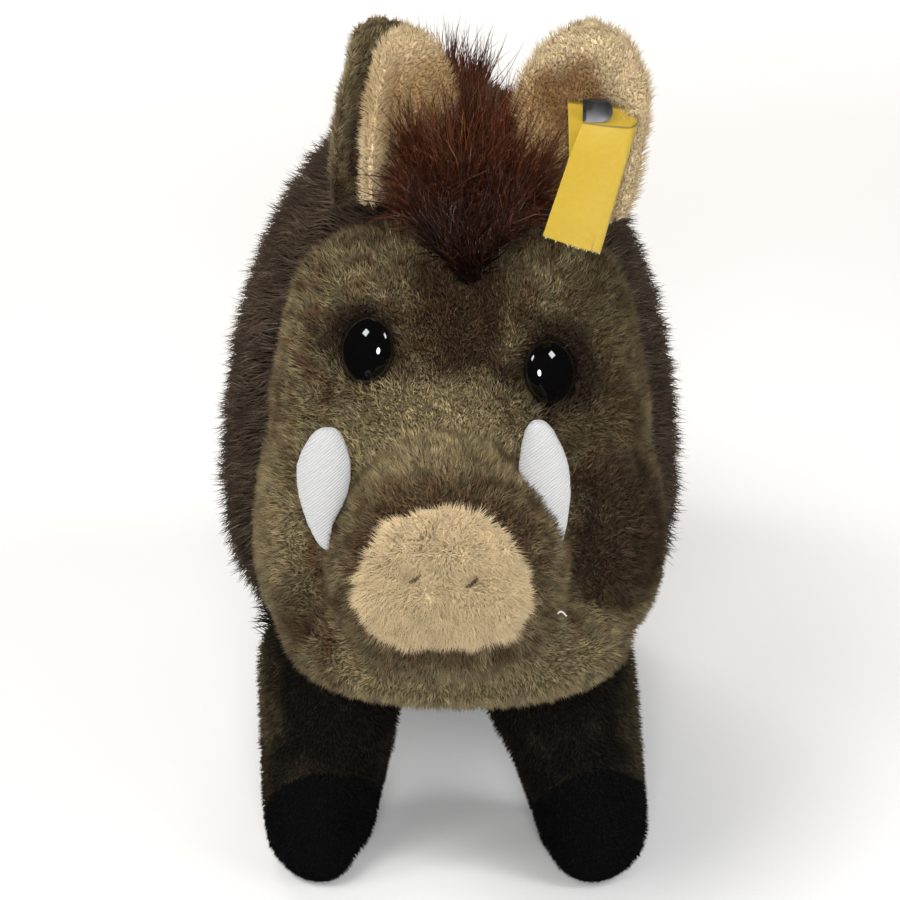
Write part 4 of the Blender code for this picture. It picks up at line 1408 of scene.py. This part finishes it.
def make_frays():
    """Loose threads that hang from the cut end."""
    rng = np.random.default_rng(17)
    ways = np.sort(rng.uniform(0.01, 0.99, FRAYS))
    ends = SimpleNamespace(places=np.array([ribbon_place(way, 0.995) for way in ways]))
    down = np.array((TAG_FOOT - TAG_TOP).normalized())
    ends.sprout = unit(down + 0.12 * rng.normal(size=(FRAYS, 3)))
    ends.tip = unit(down + 0.30 * rng.normal(size=(FRAYS, 3)))
    ends.length = rng.uniform(0.4, 1.1, FRAYS) * MM
    ends.width = np.full(FRAYS, 0.16 * MM)
    ends.tint = rng.random(FRAYS)
    ends.laid = np.stack([ways, rng.random(FRAYS)], 1)
    frays = new_object("tag_frays", tuft_mesh("tag_frays", ends, rings=2))
    finish_piece(frays, thread_material("frayed_thread", (0.80, 0.72, 0.40)), "ribbon")
    return frays


def make_ribbon():
    """A woven ribbon folded round an upright edge, with a cut end that frays."""
    ribbon = start_from("grid", "tag_ribbon_cloth", x_subdivisions=72, y_subdivisions=64, size=1.0)
    ribbon.data.uv_layers[0].name = RIBBON_MAP
    for corner in ribbon.data.vertices:
        corner.co = ribbon_place(corner.co.x + 0.5, 0.5 - corner.co.y)
    apply_modifier(ribbon, "SOLIDIFY", thickness=TAG_CLOTH, offset=0.0)
    smooth_to(ribbon, 40)
    finish_piece(ribbon, ribbon_material(), "ribbon", "tag_ribbon")
    make_frays()


PLATE = 1.2 * MM                    # thickness of the clip
DISH_RIM = 0.7 * MM
DISH_DEPTH = 0.35 * MM
PRONG_RADIUS = 0.9 * MM


def metal_material():
    """Dark metal, unevenly worn."""
    made, tree, shader = new_material("worn_metal", Metallic=0.85)
    worn = noise(tree, object_place(tree), 300.0, detail=4.0, rough=0.6)
    colour = mixed(tree, remap(tree, worn, 0.3, 0.8), (0.050, 0.050, 0.054), (0.11, 0.11, 0.11))
    tree.links.new(colour, shader.inputs["Base Color"])
    tree.links.new(remap(tree, worn, 0.3, 0.7, 0.30, 0.55), shader.inputs["Roughness"])
    return made


def make_clip():
    """A pressed metal clip with a rounded end, whose prong goes back into the ear."""
    low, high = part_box("tag_clip")
    middle = Vector(((low.x + high.x) / 2, low.y + 0.9 * MM, (low.z + high.z) / 2))
    width, height = high.x - low.x, high.z - low.z
    clip = start_from("cube", "tag_clip_plate", size=1.0, location=middle)
    clip.scale = (width, PLATE, height)
    bpy.ops.object.transform_apply(location=True, rotation=False, scale=True)

    def at_round_end(edge):
        first, second = (clip.data.vertices[end].co for end in edge.vertices)
        return abs(first.y - second.y) > 1.0 * MM and first.x > middle.x

    with editing(clip, "EDGE", at_round_end):
        bpy.ops.mesh.bevel(offset=height * 0.46, segments=6, profile=0.5, affect="EDGES")
    with editing(clip, "FACE", lambda face: face.normal.y < -0.9):
        bpy.ops.mesh.inset(thickness=DISH_RIM)
        bpy.ops.transform.translate(value=(0.0, DISH_DEPTH, 0.0))
    apply_modifier(clip, "BEVEL", width=0.15 * MM, segments=2)
    prong = start_from(
        "cylinder", "tag_clip_prong", vertices=16, radius=PRONG_RADIUS, depth=high.y - middle.y,
        rotation=(math.radians(90), 0.0, 0.0), location=(middle.x, (high.y + middle.y) / 2, middle.z))
    only(clip, prong)
    bpy.ops.object.join()
    bpy.ops.object.transform_apply(location=True, rotation=True, scale=True)
    smooth_to(clip, 35)
    finish_piece(clip, metal_material(), "clip_metal", "tag_clip")


# The stage.

LAMPS = {                   # place, width, power in watts, colour, whether it is seen in glossy things
    "key": ((-0.70, -1.10, 1.40), 0.70, 17.0, (1.0, 0.985, 0.96), False),
    "softbox_left": ((-0.96, -0.45, 1.24), 0.38, 4.8, (1.0, 1.0, 1.0), True),
    "softbox_right": ((0.96, -0.45, 1.24), 0.38, 4.8, (1.0, 1.0, 1.0), True),
    "flash": ((0.0, -1.15, 0.50), 0.28, 11.0, (1.0, 1.0, 1.0), True),
    "fill": ((1.00, -0.75, 0.75), 0.80, 5.2, (0.97, 0.985, 1.0), False),
    "rim": ((-0.30, 1.20, 1.20), 0.90, 12.0, (1.0, 0.92, 0.84), False),
}
LOOK_AT = Vector((0.0, -0.060, 0.112))
ROOM_LIGHT = (0.03, 0.38)   # strength in front of the toy and behind it
ROOM_IN_GLOSS = 0.012
ROOM_SEEN = 0.85


def make_floor():
    """Pale paper that is as white far off as the room behind it."""
    floor = start_from("plane", "floor", size=8.0)
    made, tree, shader = new_material("floor_paper", Roughness=0.9, Specular_IOR_Level=0.1)
    place = object_place(tree)
    grain = noise(tree, place, 900.0, detail=2.0)
    colour = mixed(tree, remap(tree, grain, 0.3, 0.7), (0.85, 0.85, 0.85), (0.86, 0.86, 0.86))
    tree.links.new(colour, shader.inputs["Base Color"])
    away = node(tree, "VectorMath", {0: place}, operation="LENGTH")
    glow = remap(tree, away.outputs["Value"], 0.5, 2.0, 0.0, ROOM_SEEN)
    seen = node(tree, "LightPath").outputs["Is Camera Ray"]
    shader.inputs["Emission Color"].default_value = (1.0, 1.0, 1.0, 1.0)
    tree.links.new(number(tree, "MULTIPLY", glow, seen), shader.inputs["Emission Strength"])
    floor.data.materials.append(made)
    floor.visible_glossy = False


def make_room():
    """Even light, brighter behind the toy, dim in glossy things and pale to the camera."""
    world = bpy.data.worlds.new("studio")
    world.use_nodes = True
    tree = world.node_tree
    way = node(tree, "SeparateXYZ", {"Vector": node(tree, "TexCoord").outputs["Generated"]})
    room = remap(tree, way.outputs["Y"], -0.7, 0.5, *ROOM_LIGHT)
    rays = node(tree, "LightPath").outputs
    for ray, strength in (("Is Glossy Ray", ROOM_IN_GLOSS), ("Is Camera Ray", ROOM_SEEN)):
        room = node(tree, "Mix", {0: rays[ray], 2: room, 3: strength}, data_type="FLOAT").outputs[0]
    tree.links.new(room, tree.nodes["Background"].inputs["Strength"])
    tree.nodes["Background"].inputs["Color"].default_value = (1.0, 1.0, 1.0, 1.0)
    bpy.context.scene.world = world
    bpy.context.scene.view_settings.view_transform = "Standard"


def make_lamps():
    """The lamps, each facing the toy."""
    for name, (place, width, power, colour, glossy) in LAMPS.items():
        lamp = bpy.data.lights.new(name, "AREA")
        lamp.shape = "DISK" if name == "flash" else "SQUARE"
        lamp.size = width
        lamp.energy = power * settings().stage.light
        lamp.color = colour
        thing = new_object(name, lamp)
        thing.location = place
        thing.rotation_euler = (LOOK_AT - thing.location).to_track_quat("-Z", "Y").to_euler()
        thing.visible_glossy = glossy


def make_camera():
    """The camera, in front of the toy and a little above it."""
    stage = settings().stage
    camera = new_object("camera", bpy.data.cameras.new("camera"))
    away = Vector((0.0, -math.cos(stage.elevation), math.sin(stage.elevation)))
    camera.location = LOOK_AT + away * stage.distance
    camera.rotation_euler = (-away).to_track_quat("-Z", "Y").to_euler()
    camera.data.lens = stage.lens
    camera.data.sensor_width = 36.0
    camera.data.clip_start = 0.01
    bpy.context.scene.camera = camera


# Operators, in the order in which they are called.

class BOAR_OT_stage(bpy.types.Operator):
    """Make the floor, the lights and the camera"""
    bl_idname = "boar.stage"
    bl_label = "Stage"

    def execute(self, context):
        make_floor()
        make_room()
        make_lamps()
        make_camera()
        return {"FINISHED"}


class BOAR_OT_body_skin(bpy.types.Operator):
    """Make the stuffed skin of the trunk, neck and legs"""
    bl_idname = "boar.body_skin"
    bl_label = "Body skin"

    def execute(self, context):
        make_body_skin()
        return {"FINISHED"}


class BOAR_OT_head_skin(bpy.types.Operator):
    """Make the stuffed skin of the head, muzzle and jaw"""
    bl_idname = "boar.head_skin"
    bl_label = "Head skin"

    def execute(self, context):
        make_head_skin()
        return {"FINISHED"}


class BOAR_OT_snout(bpy.types.Operator):
    """Make the snout disc and its pile"""
    bl_idname = "boar.snout"
    bl_label = "Snout disc"

    def execute(self, context):
        make_snout()
        return {"FINISHED"}


class BOAR_OT_ears(bpy.types.Operator):
    """Make both ears and their pile"""
    bl_idname = "boar.ears"
    bl_label = "Ears"

    def execute(self, context):
        make_ears()
        return {"FINISHED"}


class BOAR_OT_tail(bpy.types.Operator):
    """Make the tail and its tuft"""
    bl_idname = "boar.tail"
    bl_label = "Tail"

    def execute(self, context):
        make_tail_cord()
        make_tail_tuft()
        return {"FINISHED"}


class BOAR_OT_forelock(bpy.types.Operator):
    """Make the hair between the ears"""
    bl_idname = "boar.forelock"
    bl_label = "Forelock"

    def execute(self, context):
        make_forelock()
        return {"FINISHED"}


class BOAR_OT_crest(bpy.types.Operator):
    """Make the hair along the back"""
    bl_idname = "boar.crest"
    bl_label = "Crest"

    def execute(self, context):
        make_crest()
        return {"FINISHED"}


class BOAR_OT_body_coat(bpy.types.Operator):
    """Grow the pile of the trunk, neck, legs and feet"""
    bl_idname = "boar.body_coat"
    bl_label = "Body coat"

    def execute(self, context):
        skin = bpy.data.objects["body_skin"]
        grow_trunk_pile(skin)
        grow_leg_pile(skin)
        grow_foot_pile(skin)
        return {"FINISHED"}


class BOAR_OT_head_coat(bpy.types.Operator):
    """Grow the pile of the head"""
    bl_idname = "boar.head_coat"
    bl_label = "Head coat"

    def execute(self, context):
        make_head_coat()
        return {"FINISHED"}


class BOAR_OT_eyes(bpy.types.Operator):
    """Make both eyes"""
    bl_idname = "boar.eyes"
    bl_label = "Eyes"

    def execute(self, context):
        make_eyes()
        return {"FINISHED"}


class BOAR_OT_tusks(bpy.types.Operator):
    """Make both tusks"""
    bl_idname = "boar.tusks"
    bl_label = "Tusks"

    def execute(self, context):
        make_tusks()
        return {"FINISHED"}


class BOAR_OT_stitches(bpy.types.Operator):
    """Make the nostril stitches and the loose thread at the mouth"""
    bl_idname = "boar.stitches"
    bl_label = "Stitches"

    def execute(self, context):
        make_stitches()
        return {"FINISHED"}


class BOAR_OT_clip(bpy.types.Operator):
    """Make the metal clip of the tag"""
    bl_idname = "boar.clip"
    bl_label = "Tag clip"

    def execute(self, context):
        make_clip()
        return {"FINISHED"}


class BOAR_OT_ribbon(bpy.types.Operator):
    """Make the ribbon of the tag"""
    bl_idname = "boar.ribbon"
    bl_label = "Tag ribbon"

    def execute(self, context):
        make_ribbon()
        return {"FINISHED"}


OPERATORS = (
    BOAR_OT_stage, BOAR_OT_body_skin, BOAR_OT_head_skin, BOAR_OT_snout, BOAR_OT_ears, BOAR_OT_tail,
    BOAR_OT_forelock, BOAR_OT_crest, BOAR_OT_body_coat, BOAR_OT_head_coat, BOAR_OT_eyes,
    BOAR_OT_tusks, BOAR_OT_stitches, BOAR_OT_clip, BOAR_OT_ribbon,
)


class BOAR_PT_parts(bpy.types.Panel):
    """Every piece, in the order in which it is made"""
    bl_idname = "BOAR_PT_parts"
    bl_label = "Plush boar"
    bl_space_type = "VIEW_3D"
    bl_region_type = "UI"
    bl_category = "Boar"

    def draw(self, context):
        for operator in OPERATORS:
            self.layout.operator(operator.bl_idname)


CLASSES = (
    PileSettings, HairSettings, ColourSettings, StageSettings, BoarSettings, *OPERATORS, BOAR_PT_parts,
)


def register():
    for item in CLASSES:
        bpy.utils.register_class(item)
    bpy.types.Scene.plush_boar = PointerProperty(type=BoarSettings)


def unregister():
    del bpy.types.Scene.plush_boar
    for item in reversed(CLASSES):
        bpy.utils.unregister_class(item)


def main():
    register()
    for operator in OPERATORS:
        name = operator.bl_idname.split(".")[1]
        getattr(bpy.ops.boar, name)()
    bpy.context.view_layer.update()


if __name__ == "__main__":
    main()
